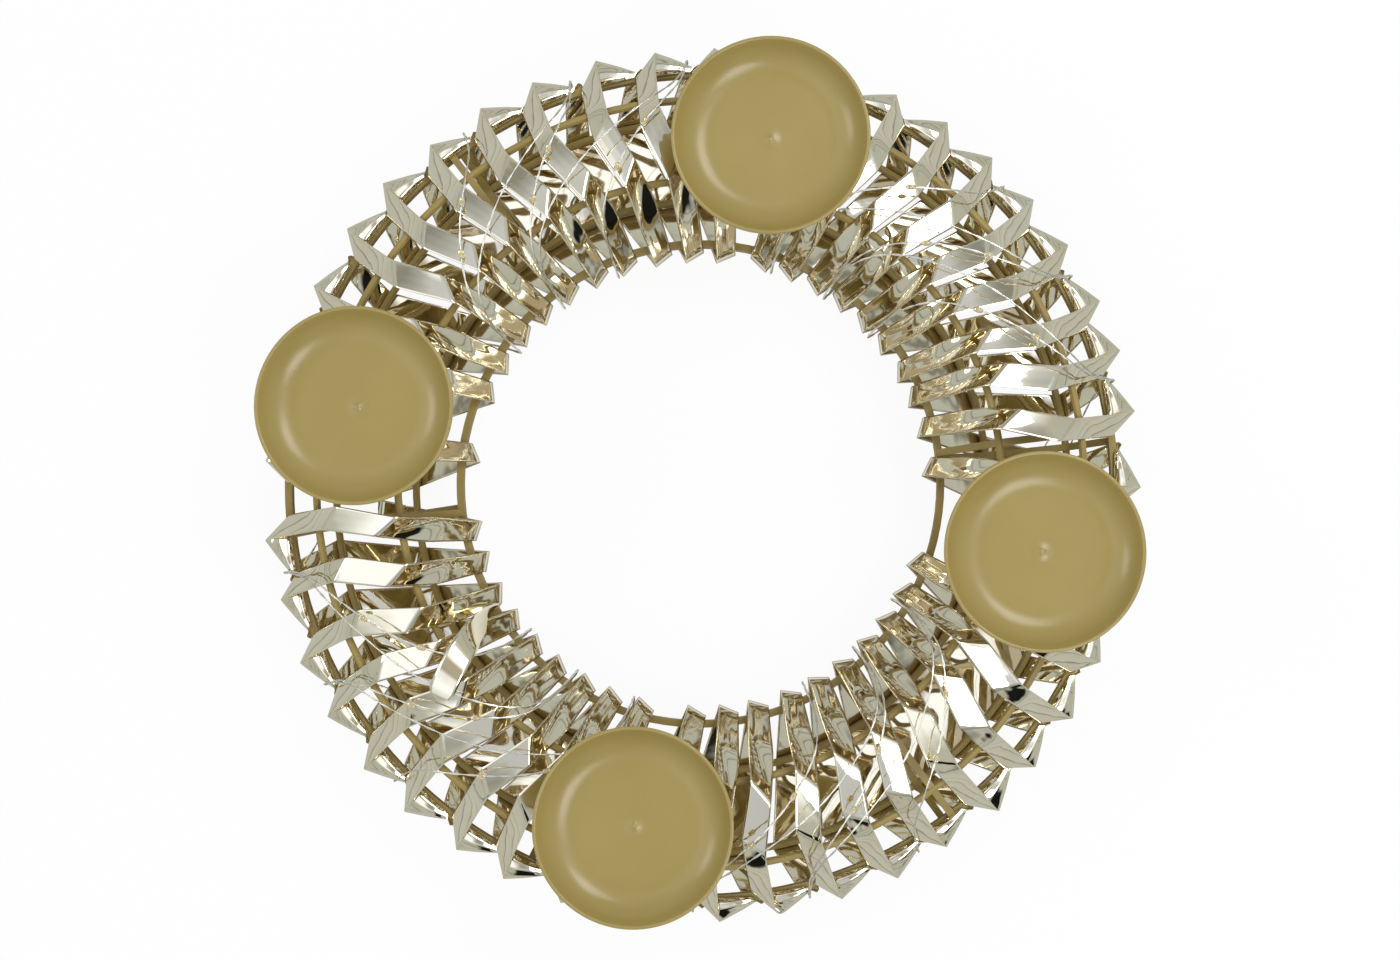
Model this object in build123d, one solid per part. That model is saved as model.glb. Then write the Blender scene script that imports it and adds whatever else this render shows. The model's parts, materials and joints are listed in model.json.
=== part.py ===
from build123d import *
import os
from math import cos, degrees, radians, sin

# Advent candle holder, in millimetres and degrees.
# A round cage of two moulded halves is wound with a mirror film strip and a light wire. Four dished
# plates for candles plug into brackets on its top hoops, and a small battery box sits inside it.
# The origin is the middle of the wreath on the table, with +Z up.

# Cage. The plates stand on the circle of seat_radius, midway between the hoops
seat_radius = 133.75
hoop_spacing = 32.5
outer_rim_overhang = 15.0
inner_rim_overhang = 21.5
rim_height = 27.0
outer_hoop_rise = 20.0
inner_hoop_rise = 23.0
bar = 2.8
rim_depth = 2.4
rib_count = 6
rib_azimuth = 6.5
rib_half_shift = 0.65
rib_bend_radius = 7.0
peg_diameter = 1.5
peg_length = 1.6
peg_root = 1.0
peg_clearance = 0.05
foot_length = 6.0
foot_width = 4.0
outer_foot_lag = 2.0

# Film strip
film_width = 10.4
film_thickness = 0.4
film_clearance = 0.4
tip_reach = 11.0
tip_rise = 1.0
rim_lay = 2.6
rim_gap = 0.6
outer_fold_height = 12.5
inner_fold_height = 7.0
fold_slant = 9.0
inner_reach = 7.0
crease_sag = 0.5

# How far round from its tip each fold of a turn lies, and how much of the film's width it takes up there
under_turn = 0.3
under_share = 1.85
tip_turn = -1.5
tip_share = 0.86
shoulder_turn = -1.6
shoulder_share = 0.8
brow_turn = 1.55
brow_share = 0.56
slope_turn = 3.35
slope_share = 0.76
crease_turn = 4.75
crease_share = 0.69
under_inner_travel = 0.36
under_outer_travel = 0.73

# Candle plates
plate_azimuths = (78.0, 168.0, 259.5, -12.0)
plate_diameter = 76.0
plate_wall_run = 9.5
plate_depth = 10.0
plate_wall = 1.5
plate_seat_height = 63.0
seat_clearance = 0.3
gate_mark_diameter = 1.6
gate_mark_height = 0.3
plate_peg_size = 6.0
plate_peg_length = 8.5
socket_clearance = 0.15
socket_spare_depth = 0.5

# Plate brackets
bracket_width = 6.0
bracket_thickness = 3.0
bracket_clip_length = 6.4
bracket_clip_grip = 2.0
hub_diameter = 10.5
clip_clearance = 0.2

# Light wire
wire_diameter = 0.7
wire_lift = 2.0
wire_bow = 2.0
wire_table_gap = 0.45
wire_span = 3
wire_step = 2
wire_exit_turn = 0.8
bead_length = 3.6
bead_diameter = 2.4
bead_end_diameter = 1.4
bead_sides = 6
bead_bore_sides = 8
bead_bore_clearance = 0.05

# Battery box, under the plate with this index
box_plate = 3
box_length = 40.0
box_width = 28.0
box_wall = 1.5
box_floor_height = 10.0
cell_diameter = 20.0
cell_thickness = 3.2
cell_count = 2
cell_clearance = 0.2
drawer_floor = 1.0
drawer_length = 29.0
drawer_clearance = 0.3
drawer_front = 2.0
contact_thickness = 0.3
contact_width = 4.0
contact_length = 12.0
contact_inset = 1.0
board_thickness = 1.0
board_top_gap = 1.0
switch_travel = 3.5
switch_knob = 2.6
switch_reach = 1.6
switch_offset = 8.5
switch_inset = 1.0
switch_shoe_length = 3.8
switch_shoe_width = 5.6
switch_shoe_thickness = 1.2
wire_hole_clearance = 0.15
screw_head_diameter = 3.0
screw_head_height = 1.0
screw_diameter = 1.6
screw_length = 5.0
screw_clearance = 0.1
boss_diameter = 4.4

# Worked out from the sizes above
hoop_half_span = hoop_spacing / 2
outer_hoop_radius = seat_radius + hoop_half_span
inner_hoop_radius = seat_radius - hoop_half_span
outer_rim_radius = outer_hoop_radius + outer_rim_overhang
inner_rim_radius = inner_hoop_radius - inner_rim_overhang
lay = bar / 2 + film_clearance + film_thickness / 2
wire_low = wire_diameter / 2 + wire_table_gap

# How far through a piece a cut goes on, so that it comes out on the other side
cut_over = 1.0

# Pieces that are placed by their lowest or highest face
from_below = (Align.CENTER, Align.CENTER, Align.MIN)
from_above = (Align.CENTER, Align.CENTER, Align.MAX)


def spot(radius, azimuth, height):
    """The point at a radius and azimuth about the wreath's axis."""
    return Vector(radius * cos(radians(azimuth)), radius * sin(radians(azimuth)), height)


def at_azimuth(azimuth, radius=0.0, height=0.0):
    """A place whose X axis points outward at this azimuth."""
    return Rot(0, 0, azimuth) * Pos(radius, 0, height)


def ring(radius, low, high, width):
    """A hoop of rectangular section between two heights."""
    section = Plane.XZ * Pos(radius, (low + high) / 2) * Rectangle(width, high - low)
    return revolve(section, Axis.Z)


def hoop(radius, height):
    """A round bar of the cage, moulded with eight flats."""
    section = Plane.XZ * Pos(radius, height) * RegularPolygon(bar / 2, 8, major_radius=False, rotation=22.5)
    return revolve(section, Axis.Z)


def rib(side):
    """One bar across the hoops, from rim to rim, on the upper (+1) or lower (-1) side."""
    rim_level = rim_height + side * rim_depth / 2
    path = FilletPolyline(
        (inner_rim_radius, 0, rim_level),
        (inner_hoop_radius, 0, rim_height + side * inner_hoop_rise),
        (outer_hoop_radius, 0, rim_height + side * outer_hoop_rise),
        (outer_rim_radius, 0, rim_level),
        radius=rib_bend_radius,
    )
    section = Plane(path @ 0, x_dir=(0, 1, 0), z_dir=path % 0) * Rectangle(bar, bar)
    whole = sweep(section, path)
    keep = Pos(seat_radius, 0, rim_height + side * outer_rim_radius / 2)
    return whole & keep * Box(outer_rim_radius, outer_rim_radius, outer_rim_radius)


def peg_spots():
    """Where the two halves plug together: on both rims, midway between the ribs."""
    pitch = 360 / rib_count
    spots = []
    for index in range(rib_count):
        azimuth = rib_azimuth + (index + 0.5) * pitch
        for radius in (inner_rim_radius, outer_rim_radius):
            spots.append(at_azimuth(azimuth, radius, rim_height))
    return spots


def half_frame(side):
    """Half of the cage: two rims, two hoops and the ribs that carry them."""
    rim_levels = sorted((rim_height, rim_height + side * rim_depth))
    body = ring(outer_rim_radius, *rim_levels, bar) + ring(inner_rim_radius, *rim_levels, bar)
    body += hoop(outer_hoop_radius, rim_height + side * outer_hoop_rise)
    body += hoop(inner_hoop_radius, rim_height + side * inner_hoop_rise)
    one_rib = rib(side)
    for index in range(rib_count):
        azimuth = rib_azimuth + index * 360 / rib_count + side * rib_half_shift
        body += Rot(0, 0, azimuth) * one_rib
    return body


def frame_upper():
    """The upper half, with a hole in its rims for each peg."""
    body = half_frame(1)
    hole = Cylinder(peg_diameter / 2 + peg_clearance, peg_length + peg_clearance, align=from_below)
    for place in peg_spots():
        body -= place * hole
    return body


def frame_lower():
    """The lower half, with pegs on its rims and a pair of feet below each plate."""
    body = half_frame(-1)
    peg = Pos(0, 0, -peg_root) * Cylinder(peg_diameter / 2, peg_length + peg_root, align=from_below)
    for place in peg_spots():
        body += place * peg
    feet = (
        (inner_hoop_radius, inner_hoop_rise, 0.0),
        (outer_hoop_radius, outer_hoop_rise, outer_foot_lag),
    )
    for azimuth in plate_azimuths:
        for radius, rise, lag in feet:
            foot = Box(foot_length, foot_width, rim_height - rise, align=from_below)
            body += at_azimuth(azimuth - lag, radius) * foot
    return body


def even_tips(first, last, count):
    """Azimuths of outer folds that are evenly spaced."""
    return [first + (last - first) * index / (count - 1) for index in range(count)]


# Azimuths of the outer folds of each length of strip, in the order in which it is wound. The second
# length is wound the other way round. Its last turn, and the first length's, passes beside a bracket.
ribbon_tips = (
    even_tips(70.5, 9.7, 9) + [-1.0],
    even_tips(88.0, 160.7, 10) + [177.0],
    even_tips(252.1, 187.9, 9),
    even_tips(-24.1, -95.2, 10),
)
ribbon_hands = (1, -1, 1, 1)


def fold(end_a, end_b, centre, share, hand):
    """A fold line across the strip, as its two ends, each given by its radius and its rise above the rims."""
    (radius_a, rise_a), (radius_b, rise_b) = end_a, end_b
    half_a = degrees(share * film_width / 2 / radius_a)
    half_b = degrees(share * film_width / 2 / radius_b)
    return (
        spot(radius_a, centre + hand * half_a, rim_height + rise_a),
        spot(radius_b, centre - hand * half_b, rim_height + rise_b),
    )


def top_folds(tip, hand):
    """The folds of one turn from under the outer rim, over the top and round the inner rim."""
    under_rim = outer_rim_radius + rim_lay
    shoulder = outer_hoop_radius + lay
    brow = inner_hoop_radius + lay / 2
    crease_a = inner_rim_radius - 1.5 * lay
    crease_b = inner_rim_radius - inner_reach
    under = (under_rim, -rim_depth - rim_gap)
    tip_a = (outer_rim_radius + tip_reach, tip_rise)
    tip_b = (under_rim, 2 * tip_rise)
    shoulder_a = (shoulder, outer_hoop_rise + 2 * lay)
    shoulder_b = (shoulder - fold_slant, outer_hoop_rise + outer_fold_height)
    brow_a = (brow + fold_slant, inner_hoop_rise + inner_fold_height)
    brow_b = (brow, inner_hoop_rise + 2 * lay)
    slope_a = (inner_hoop_radius - 2.7 * lay, inner_hoop_rise + 1.5 * lay)
    slope_b = (inner_rim_radius + lay, inner_hoop_rise / 2)
    upper_a = (crease_a, rim_depth + rim_gap)
    upper_b = (crease_b, rim_depth)
    lower_a = (crease_a, -rim_depth - rim_gap - crease_sag)
    lower_b = (crease_b - crease_sag, -rim_depth / 2)
    return [
        fold(under, under, tip + hand * under_turn, under_share, hand),
        fold(tip_a, tip_b, tip + hand * tip_turn, tip_share, hand),
        fold(shoulder_a, shoulder_b, tip + hand * shoulder_turn, shoulder_share, hand),
        fold(brow_a, brow_b, tip + hand * brow_turn, brow_share, hand),
        fold(slope_a, slope_b, tip + hand * slope_turn, slope_share, hand),
        fold(upper_a, upper_b, tip + hand * crease_turn, crease_share, hand),
        fold(lower_a, lower_b, tip + hand * crease_turn, crease_share, hand),
    ]


def ribbon_folds(tips, hand):
    """All fold lines of one length of strip, from its first end under the outer rim to its last."""
    inner = (inner_hoop_radius - 0.45 * lay, -inner_hoop_rise - 1.05 * lay)
    outer = (outer_hoop_radius + 0.55 * lay, -outer_hoop_rise - lay)
    pitch = abs(tips[1] - tips[0])
    following = list(tips[1:]) + [tips[-1] - hand * pitch]
    folds = []
    for tip, after in zip(tips, following):
        folds += top_folds(tip, hand)
        leave = tip + hand * crease_turn
        travel = after + hand * under_turn - leave
        folds.append(fold(inner, inner, leave + travel * under_inner_travel, 1.0, hand))
        folds.append(fold(outer, outer, leave + travel * under_outer_travel, 1.0, hand))
    return folds[:-1]


def strip_normals(folds):
    """Unit normals of the strip at its folds, each halfway between the facets that meet there."""
    facets = []
    for (a_one, b_one), (a_two, b_two) in zip(folds, folds[1:]):
        along = (a_two + b_two) - (a_one + b_one)
        across = (b_one - a_one) + (b_two - a_two)
        facets.append(along.cross(across).normalized())
    normals = [facets[0]]
    for before, after in zip(facets, facets[1:]):
        normals.append((before + after).normalized())
    normals.append(facets[-1])
    return normals


def faceted_strand(rings):
    """A closed solid through rings of corners. Facets on opposite sides split along the same diagonal."""
    faces = [Face(Wire.make_polygon(rings[0], close=True)), Face(Wire.make_polygon(rings[-1], close=True))]
    sides = len(rings[0])
    for one, two in zip(rings, rings[1:]):
        for index in range(sides):
            after = (index + 1) % sides
            near, far = (after, index) if index < sides / 2 else (index, after)
            faces.append(Face(Wire.make_polygon([one[near], one[far], two[far]], close=True)))
            faces.append(Face(Wire.make_polygon([one[near], two[far], two[near]], close=True)))
    return Solid(Shell(faces))


def ribbon(tips, hand):
    """One length of folded film strip."""
    folds = ribbon_folds(tips, hand)
    rings = []
    for (end_a, end_b), normal in zip(folds, strip_normals(folds)):
        step = normal * (film_thickness / 2)
        rings.append([end_a + step, end_b + step, end_b - step, end_a - step])
    return faceted_strand(rings)


def even_turns(tips):
    """The tips of evenly wound turns, by rising azimuth."""
    widest = 1.3 * abs(tips[1] - tips[0])
    rising = sorted(tips)
    return [tip for tip in rising if any(0 < abs(tip - other) < widest for other in rising)]


def wire_gaps(tips, hand):
    """Azimuths of the gaps between turns, at the outer and at the inner rim."""
    rising = even_turns(tips)
    outer = []
    inner = []
    for low, high in zip(rising, rising[1:]):
        outer.append((low + high) / 2 + hand * under_turn)
        inner.append((low + high) / 2 + hand * crease_turn)
    return outer, inner


def wire_loop(outer, inner, onward):
    """One loop of wire: up at the outer rim, over the top, down at the inner rim and back below."""
    top = max(outer_hoop_rise + outer_fold_height, inner_hoop_rise + inner_fold_height) + wire_lift
    low = wire_low - rim_height
    outside = outer_rim_radius + rim_lay + wire_bow
    inside = inner_rim_radius - inner_reach
    climb = (outer_hoop_radius + outer_rim_radius) / 2
    slope = (inner_hoop_radius + inner_rim_radius) / 2
    over = inner - outer
    back = onward - inner
    steps = [
        (outside, -2.5 * wire_bow, outer),
        (outside + wire_bow / 4, wire_bow / 2, outer),
        (outside - wire_bow / 2, outer_hoop_rise / 2, outer),
        (climb, outer_hoop_rise + 2 * wire_bow, outer + over * 0.03),
        (outer_hoop_radius - 1.5 * wire_bow, top - wire_bow / 4, outer + over * 0.2),
        (seat_radius, top, outer + over * 0.5),
        (inner_hoop_radius, top - 0.75 * wire_bow, outer + over * 0.82),
        (slope - wire_bow, inner_hoop_rise + wire_bow / 2, outer + over * 0.97),
        (inside + 1.5 * wire_bow, inner_hoop_rise / 2, inner),
        (inside, 0.0, inner),
        (inside + 0.75 * wire_bow, -inner_hoop_rise / 2, inner),
        (slope - 1.5 * wire_bow, wire_bow - inner_hoop_rise, inner + back * 0.04),
        (inner_hoop_radius, low, inner + back * 0.12),
        (seat_radius, low, inner + back * 0.38),
        (outer_hoop_radius + wire_bow, -outer_hoop_rise - 2 * lay, inner + back * 0.82),
        (outer_rim_radius - wire_bow, -outer_hoop_rise / 2 - wire_bow, inner + back * 0.98),
    ]
    return [spot(radius, azimuth, rim_height + rise) for radius, rise, azimuth in steps]


def wire_start(first_outer):
    """The wire's way from the battery box, down to the table and up to the first gap at the outer rim."""
    box_azimuth = plate_azimuths[box_plate]
    exit_radius = seat_radius - box_length / 2
    exit_level = box_floor_height + box_height / 2
    lower_hoop = rim_height - inner_hoop_rise
    travel = first_outer - box_azimuth
    return [
        spot(exit_radius, box_azimuth, exit_level),
        spot(exit_radius - 3 * wire_bow, box_azimuth, exit_level - wire_bow / 4),
        spot(inner_rim_radius + 3 * wire_bow, box_azimuth + wire_exit_turn, lower_hoop + 3 * wire_bow),
        spot(inner_rim_radius + 4 * wire_bow, box_azimuth + 2 * wire_exit_turn, lower_hoop + wire_bow / 2),
        spot(inner_hoop_radius, box_azimuth + 4 * wire_exit_turn, wire_low),
        spot(seat_radius, box_azimuth + travel * 0.5, wire_low),
        spot(outer_hoop_radius + wire_bow, box_azimuth + travel * 0.9, rim_height - outer_hoop_rise - 2 * lay),
        spot(outer_rim_radius - wire_bow, box_azimuth + travel * 0.99, rim_height - outer_hoop_rise / 2 - wire_bow),
    ]


def wire_route():
    """Points along the wire, and the ends of the runs that carry a light."""
    pairs = []
    for tips, hand in zip(ribbon_tips, ribbon_hands):
        outer, inner = wire_gaps(tips, hand)
        turns = 360 if outer[0] < plate_azimuths[box_plate] else 0
        for first in range(0, len(outer) - wire_span, wire_step):
            pairs.append((outer[first] + turns, inner[first + wire_span] + turns))
    pairs.sort()
    points = wire_start(pairs[0][0])
    lights = []
    for index, (outer, inner) in enumerate(pairs):
        last = index == len(pairs) - 1
        onward = inner if last else pairs[index + 1][0]
        loop = wire_loop(outer, inner, onward)
        lights += [(loop[4], loop[5]), (loop[5], loop[6])]
        points += loop[:-3] if last else loop
    return points, lights


def light_wire(points):
    """The wire as a slim four-sided strand through its points."""
    half = wire_diameter / 2 / 2 ** 0.5
    rings = []
    for index, point in enumerate(points):
        before = points[max(index - 1, 0)]
        after = points[min(index + 1, len(points) - 1)]
        along = (after - before).normalized()
        middle = Vector(point.X, point.Y, 0).normalized() * seat_radius + Vector(0, 0, rim_height)
        side = along.cross(point - middle).normalized()
        out = side.cross(along)
        corners = [
            point + side * half + out * half,
            point - side * half + out * half,
            point - side * half - out * half,
            point + side * half - out * half,
        ]
        rings.append(corners)
    return faceted_strand(rings)


def led_beads(lights):
    """Resin drops cast round the wire, one on each lit run, with flats like the wire's."""
    half = bead_length / 2
    sections = []
    for level, diameter in ((-half, bead_end_diameter), (0.0, bead_diameter), (half, bead_end_diameter)):
        sections.append(Pos(0, 0, level) * RegularPolygon(diameter / 2, bead_sides))
    bore_radius = wire_diameter / 2 + bead_bore_clearance
    bore_section = RegularPolygon(bore_radius, bead_bore_sides, major_radius=False)
    bore = extrude(bore_section, bead_length, both=True)
    drop = loft(sections, ruled=True) - bore
    beads = []
    for start, end in lights:
        beads.append(Plane((start + end) * 0.5, z_dir=end - start) * drop)
    return Compound(children=[bead.solid() for bead in beads])


def candle_plate():
    """A shallow dish with an upturned wall and a square peg below, seated at the origin."""
    outer = plate_diameter / 2
    inner = outer - plate_wall
    floor = outer - plate_wall_run
    outline = [
        Line((0, 0), (floor, 0)),
        TangentArc((floor, 0), (outer, plate_depth), tangent=(1, 0)),
        Line((outer, plate_depth), (inner, plate_depth)),
        TangentArc((floor, plate_wall), (inner, plate_depth), tangent=(1, 0)),
        Line((floor, plate_wall), (0, plate_wall)),
        Line((0, plate_wall), (0, 0)),
    ]
    dish = revolve(Plane.XZ * make_face(Curve() + outline), Axis.Z)
    mark = Cylinder(gate_mark_diameter / 2, gate_mark_height, align=from_below)
    peg = Box(plate_peg_size, plate_peg_size, plate_peg_length + plate_wall / 2, align=from_above)
    return dish + Pos(0, 0, plate_wall) * mark + Pos(0, 0, plate_wall / 2) * peg


def clip_channel(radius, top):
    """The space that a hoop takes in a clip which is pushed over it from above."""
    width = bar + 2 * clip_clearance
    return ring(radius, top - 4 * bar, top + clip_clearance, width)


def plate_bracket(azimuth):
    """A beam over the two top hoops, with a clip at each end and the plate's socket in the middle."""
    inner_top = rim_height + inner_hoop_rise + bar / 2
    outer_top = rim_height + outer_hoop_rise + bar / 2
    beam_low = max(inner_top, outer_top) + clip_clearance
    beam_length = hoop_spacing + bracket_clip_length
    body = Pos(0, 0, beam_low) * Box(beam_length, bracket_width, bracket_thickness, align=from_below)
    for offset, top in ((-hoop_half_span, inner_top), (hoop_half_span, outer_top)):
        clip_low = top - bracket_clip_grip
        clip_height = beam_low + bracket_thickness / 2 - clip_low
        clip = Box(bracket_clip_length, bracket_width, clip_height, align=from_below)
        body += Pos(offset, 0, clip_low) * clip
    body += Pos(0, 0, beam_low) * Cylinder(hub_diameter / 2, plate_seat_height - beam_low, align=from_below)
    socket_size = plate_peg_size + 2 * socket_clearance
    socket_depth = plate_peg_length + socket_spare_depth - seat_clearance
    body -= Pos(0, 0, plate_seat_height) * Box(socket_size, socket_size, 2 * socket_depth)
    body = at_azimuth(azimuth, seat_radius) * body
    body -= clip_channel(inner_hoop_radius, inner_top)
    body -= clip_channel(outer_hoop_radius, outer_top)
    return body


# Battery box, worked out about its own middle on its floor: X outward, Z up
cell_stack = cell_count * cell_thickness
drawer_height = drawer_floor + cell_stack
cavity_height = drawer_height + 2 * drawer_clearance + contact_thickness
box_height = cavity_height + 2 * box_wall
cavity_width = box_width - 2 * box_wall
cavity_start = box_length / 2 - drawer_length - drawer_clearance
board_face = cavity_start - box_wall - board_thickness
board_width = 2 * switch_offset - switch_shoe_width - 2 * drawer_clearance
switch_start = switch_inset + box_wall - box_length / 2
switch_middle = switch_start + switch_knob / 2
cell_middle = (box_length - drawer_length) / 2


def box_place():
    """Where the battery box stands in the cage."""
    return at_azimuth(plate_azimuths[box_plate], seat_radius, box_floor_height)


def box_block(x_low, x_high, y_size, z_low, z_high):
    """A block that is centred across the box."""
    block = Box(x_high - x_low, y_size, z_high - z_low, align=(Align.MIN, Align.CENTER, Align.MIN))
    return Pos(x_low, 0, z_low) * block


def screw_spots():
    """Where the cover's two screws stand, behind the drawer and clear of the switch."""
    along = board_face - 0.6 * boss_diameter
    beside_wall = boss_diameter / 2 - cavity_width / 2 - box_wall / 2
    return [Pos(along, beside_wall, 0), Pos(along, boss_diameter / 3, 0)]


def battery_box():
    """The open-topped tray of the battery box, with clips for the two lower hoops."""
    half = box_length / 2
    tray_top = box_height - box_wall
    body = box_block(-half, half, box_width, 0, tray_top)
    body -= box_block(cavity_start, half + cut_over, cavity_width, box_wall, tray_top + cut_over)
    body -= box_block(box_wall - half, cavity_start - box_wall, cavity_width, box_wall, tray_top + cut_over)
    boss = Cylinder(boss_diameter / 2, tray_top - box_wall, align=from_below)
    pilot = Cylinder(screw_diameter / 2, 2 * screw_length)
    for place in screw_spots():
        body += place * Pos(0, 0, box_wall) * boss
        body -= place * Pos(0, 0, tray_top) * pilot
    slot_start = switch_start - drawer_clearance
    slot_end = switch_start + switch_knob + switch_travel + drawer_clearance
    slot_width = switch_knob + 2 * drawer_clearance
    slot = box_block(slot_start, slot_end, slot_width, -cut_over, box_wall + cut_over)
    body -= Pos(0, switch_offset, 0) * slot
    exit_hole = Rot(0, 90, 0) * Cylinder(wire_diameter / 2 + wire_hole_clearance, 2 * (box_wall + cut_over))
    body -= Pos(-half, 0, box_height / 2) * exit_hole
    clip_half = bracket_clip_length / 2
    for offset, rise in ((-hoop_half_span, inner_hoop_rise), (hoop_half_span, outer_hoop_rise)):
        grip = box_floor_height - (rim_height - rise)
        body += box_block(offset - clip_half, offset + clip_half, box_width / 3, -grip, box_wall / 2)
    body = box_place() * body
    for radius, rise in ((inner_hoop_radius, inner_hoop_rise), (outer_hoop_radius, outer_hoop_rise)):
        body -= clip_channel(radius, rim_height - rise + bar / 2)
    return body


def battery_box_cover():
    """The flat cover on top of the box, with its screw holes."""
    half = box_length / 2
    body = box_block(-half, half, box_width, box_height - box_wall, box_height)
    hole = Cylinder(screw_diameter / 2 + screw_clearance, 4 * box_wall)
    for place in screw_spots():
        body -= place * Pos(0, 0, box_height) * hole
    return box_place() * body


def cover_screws():
    """The cover's two pan-head screws."""
    head = Cylinder(screw_head_diameter / 2, screw_head_height, align=from_below)
    screw = head + Cylinder(screw_diameter / 2, screw_length, align=from_above)
    screws = []
    for place in screw_spots():
        screws.append((box_place() * place * Pos(0, 0, box_height) * screw).solid())
    return Compound(children=screws)


def battery_drawer():
    """The drawer with a round pocket for the cells and a front that closes the box."""
    low = box_wall + drawer_clearance
    width = cavity_width - 2 * drawer_clearance
    front = box_length / 2 + drawer_clearance
    body = box_block(box_length / 2 - drawer_length, front, width, low, low + drawer_height)
    body += box_block(front, front + drawer_front, box_width, 0, box_height)
    pocket = Cylinder(cell_diameter / 2 + cell_clearance, cell_stack + cut_over, align=from_below)
    body -= Pos(cell_middle, 0, low + drawer_floor) * pocket
    return box_place() * body


def coin_cells():
    """The coin cells, stacked in the drawer's pocket."""
    low = box_wall + drawer_clearance + drawer_floor
    cell = Cylinder(cell_diameter / 2, cell_thickness, align=from_below)
    cells = []
    for index in range(cell_count):
        cells.append((box_place() * Pos(cell_middle, 0, low + index * cell_thickness) * cell).solid())
    return Compound(children=cells)


def contact_strips():
    """Two sprung strips: one under the cover, over the cells, and one on the wall behind the drawer."""
    ceiling = box_height - box_wall
    start = cell_middle - contact_length / 2
    over = box_block(start, start + contact_length, contact_width, ceiling - contact_thickness, ceiling)
    behind = box_block(cavity_start, cavity_start + contact_thickness / 2, contact_width, 0, cell_stack)
    behind = Pos(0, contact_width * 1.5, box_wall + contact_inset) * behind
    return Compound(children=[(box_place() * over).solid(), (box_place() * behind).solid()])


def circuit_board():
    """A narrow board on its edge, behind the drawer and beside the switch."""
    top = box_height - box_wall - board_top_gap
    return box_place() * box_block(board_face, board_face + board_thickness, board_width, box_wall, top)


def switch_slider():
    """The switch's slider: a flat shoe inside the box and a knob that stands out below it."""
    low = box_wall + drawer_clearance
    shoe_half = switch_shoe_length / 2
    knob_half = switch_knob / 2
    shoe_top = low + switch_shoe_thickness
    knob_top = low + switch_shoe_thickness / 2
    slider = box_block(switch_middle - shoe_half, switch_middle + shoe_half, switch_shoe_width, low, shoe_top)
    slider += box_block(switch_middle - knob_half, switch_middle + knob_half, switch_knob, -switch_reach, knob_top)
    return box_place() * Pos(0, switch_offset, 0) * slider


def least_gap(points, width, near):
    """The least clear distance between parts of a winding that are not next to each other."""
    least = None
    for index, point in enumerate(points):
        for other in points[index + near:]:
            gap = (point - other).length - width
            if least is None or gap < least:
                least = gap
    return least


def along_strip(folds):
    """Points on a strip's middle and edges, in order."""
    points = []
    for (a_one, b_one), (a_two, b_two) in zip(folds, folds[1:]):
        for share in (0.0, 0.25, 0.5, 0.75):
            end_a = a_one + (a_two - a_one) * share
            end_b = b_one + (b_two - b_one) * share
            points += [end_a, (end_a + end_b) * 0.5, end_b]
    return points


def main():
    """Build every piece and write it."""
    os.makedirs("parts", exist_ok=True)
    points, lights = wire_route()
    nodes = {"frame_upper": frame_upper(), "frame_lower": frame_lower()}
    for index, (tips, hand) in enumerate(zip(ribbon_tips, ribbon_hands), 1):
        nodes[f"ribbon_{index}"] = ribbon(tips, hand)
        strip = along_strip(ribbon_folds(tips, hand))
        print(f"ribbon_{index}: {len(tips)} turns, least gap {least_gap(strip, film_thickness, 60):.2f} mm")
    print(f"light_wire: least gap {least_gap(points, wire_diameter, 4):.2f} mm")
    dish = candle_plate()
    for index, azimuth in enumerate(plate_azimuths, 1):
        seat = at_azimuth(azimuth, seat_radius, plate_seat_height + seat_clearance)
        nodes[f"candle_plate_{index}"] = seat * dish
        nodes[f"plate_bracket_{index}"] = plate_bracket(azimuth)
    nodes["light_wire"] = light_wire(points)
    nodes["led_beads"] = led_beads(lights)
    nodes["battery_box"] = battery_box()
    nodes["battery_box_cover"] = battery_box_cover()
    nodes["cover_screws"] = cover_screws()
    nodes["battery_drawer"] = battery_drawer()
    nodes["coin_cells"] = coin_cells()
    nodes["contact_strips"] = contact_strips()
    nodes["circuit_board"] = circuit_board()
    nodes["switch_slider"] = switch_slider()
    for name, shape in nodes.items():
        export_step(shape, f"parts/{name}.step")


main()
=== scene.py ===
# %% [markdown]
# # A mirror-film advent wreath
#
# The real object is a plastic cage of hoops and ribs, wound with a strip of mirror film. A fine light
# wire lies over the film, and four dished plates for candles plug in on top. The construction comes in
# as a fixed frame. It could simply be coloured, but film, wire, lights and dish rims look soft on the
# real wreath. So this script makes those anew, in the same places, and gives the rest its finish.

# %% Load the frame
import json
import math
import random

import bpy
from mathutils import Matrix, Vector


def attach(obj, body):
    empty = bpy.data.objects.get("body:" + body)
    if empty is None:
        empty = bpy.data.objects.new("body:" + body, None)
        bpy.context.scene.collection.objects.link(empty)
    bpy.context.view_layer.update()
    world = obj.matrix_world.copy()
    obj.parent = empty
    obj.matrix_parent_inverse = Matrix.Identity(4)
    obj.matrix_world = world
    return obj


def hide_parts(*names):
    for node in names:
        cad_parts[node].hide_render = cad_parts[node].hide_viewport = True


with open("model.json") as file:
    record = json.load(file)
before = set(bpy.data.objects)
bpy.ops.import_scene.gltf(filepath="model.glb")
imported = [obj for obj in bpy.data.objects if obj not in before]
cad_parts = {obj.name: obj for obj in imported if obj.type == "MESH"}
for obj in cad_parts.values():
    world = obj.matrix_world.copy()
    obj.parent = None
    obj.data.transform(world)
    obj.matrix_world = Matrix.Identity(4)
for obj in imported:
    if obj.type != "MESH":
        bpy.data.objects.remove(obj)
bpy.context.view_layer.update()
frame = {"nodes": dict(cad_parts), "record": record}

MM = 0.001
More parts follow.
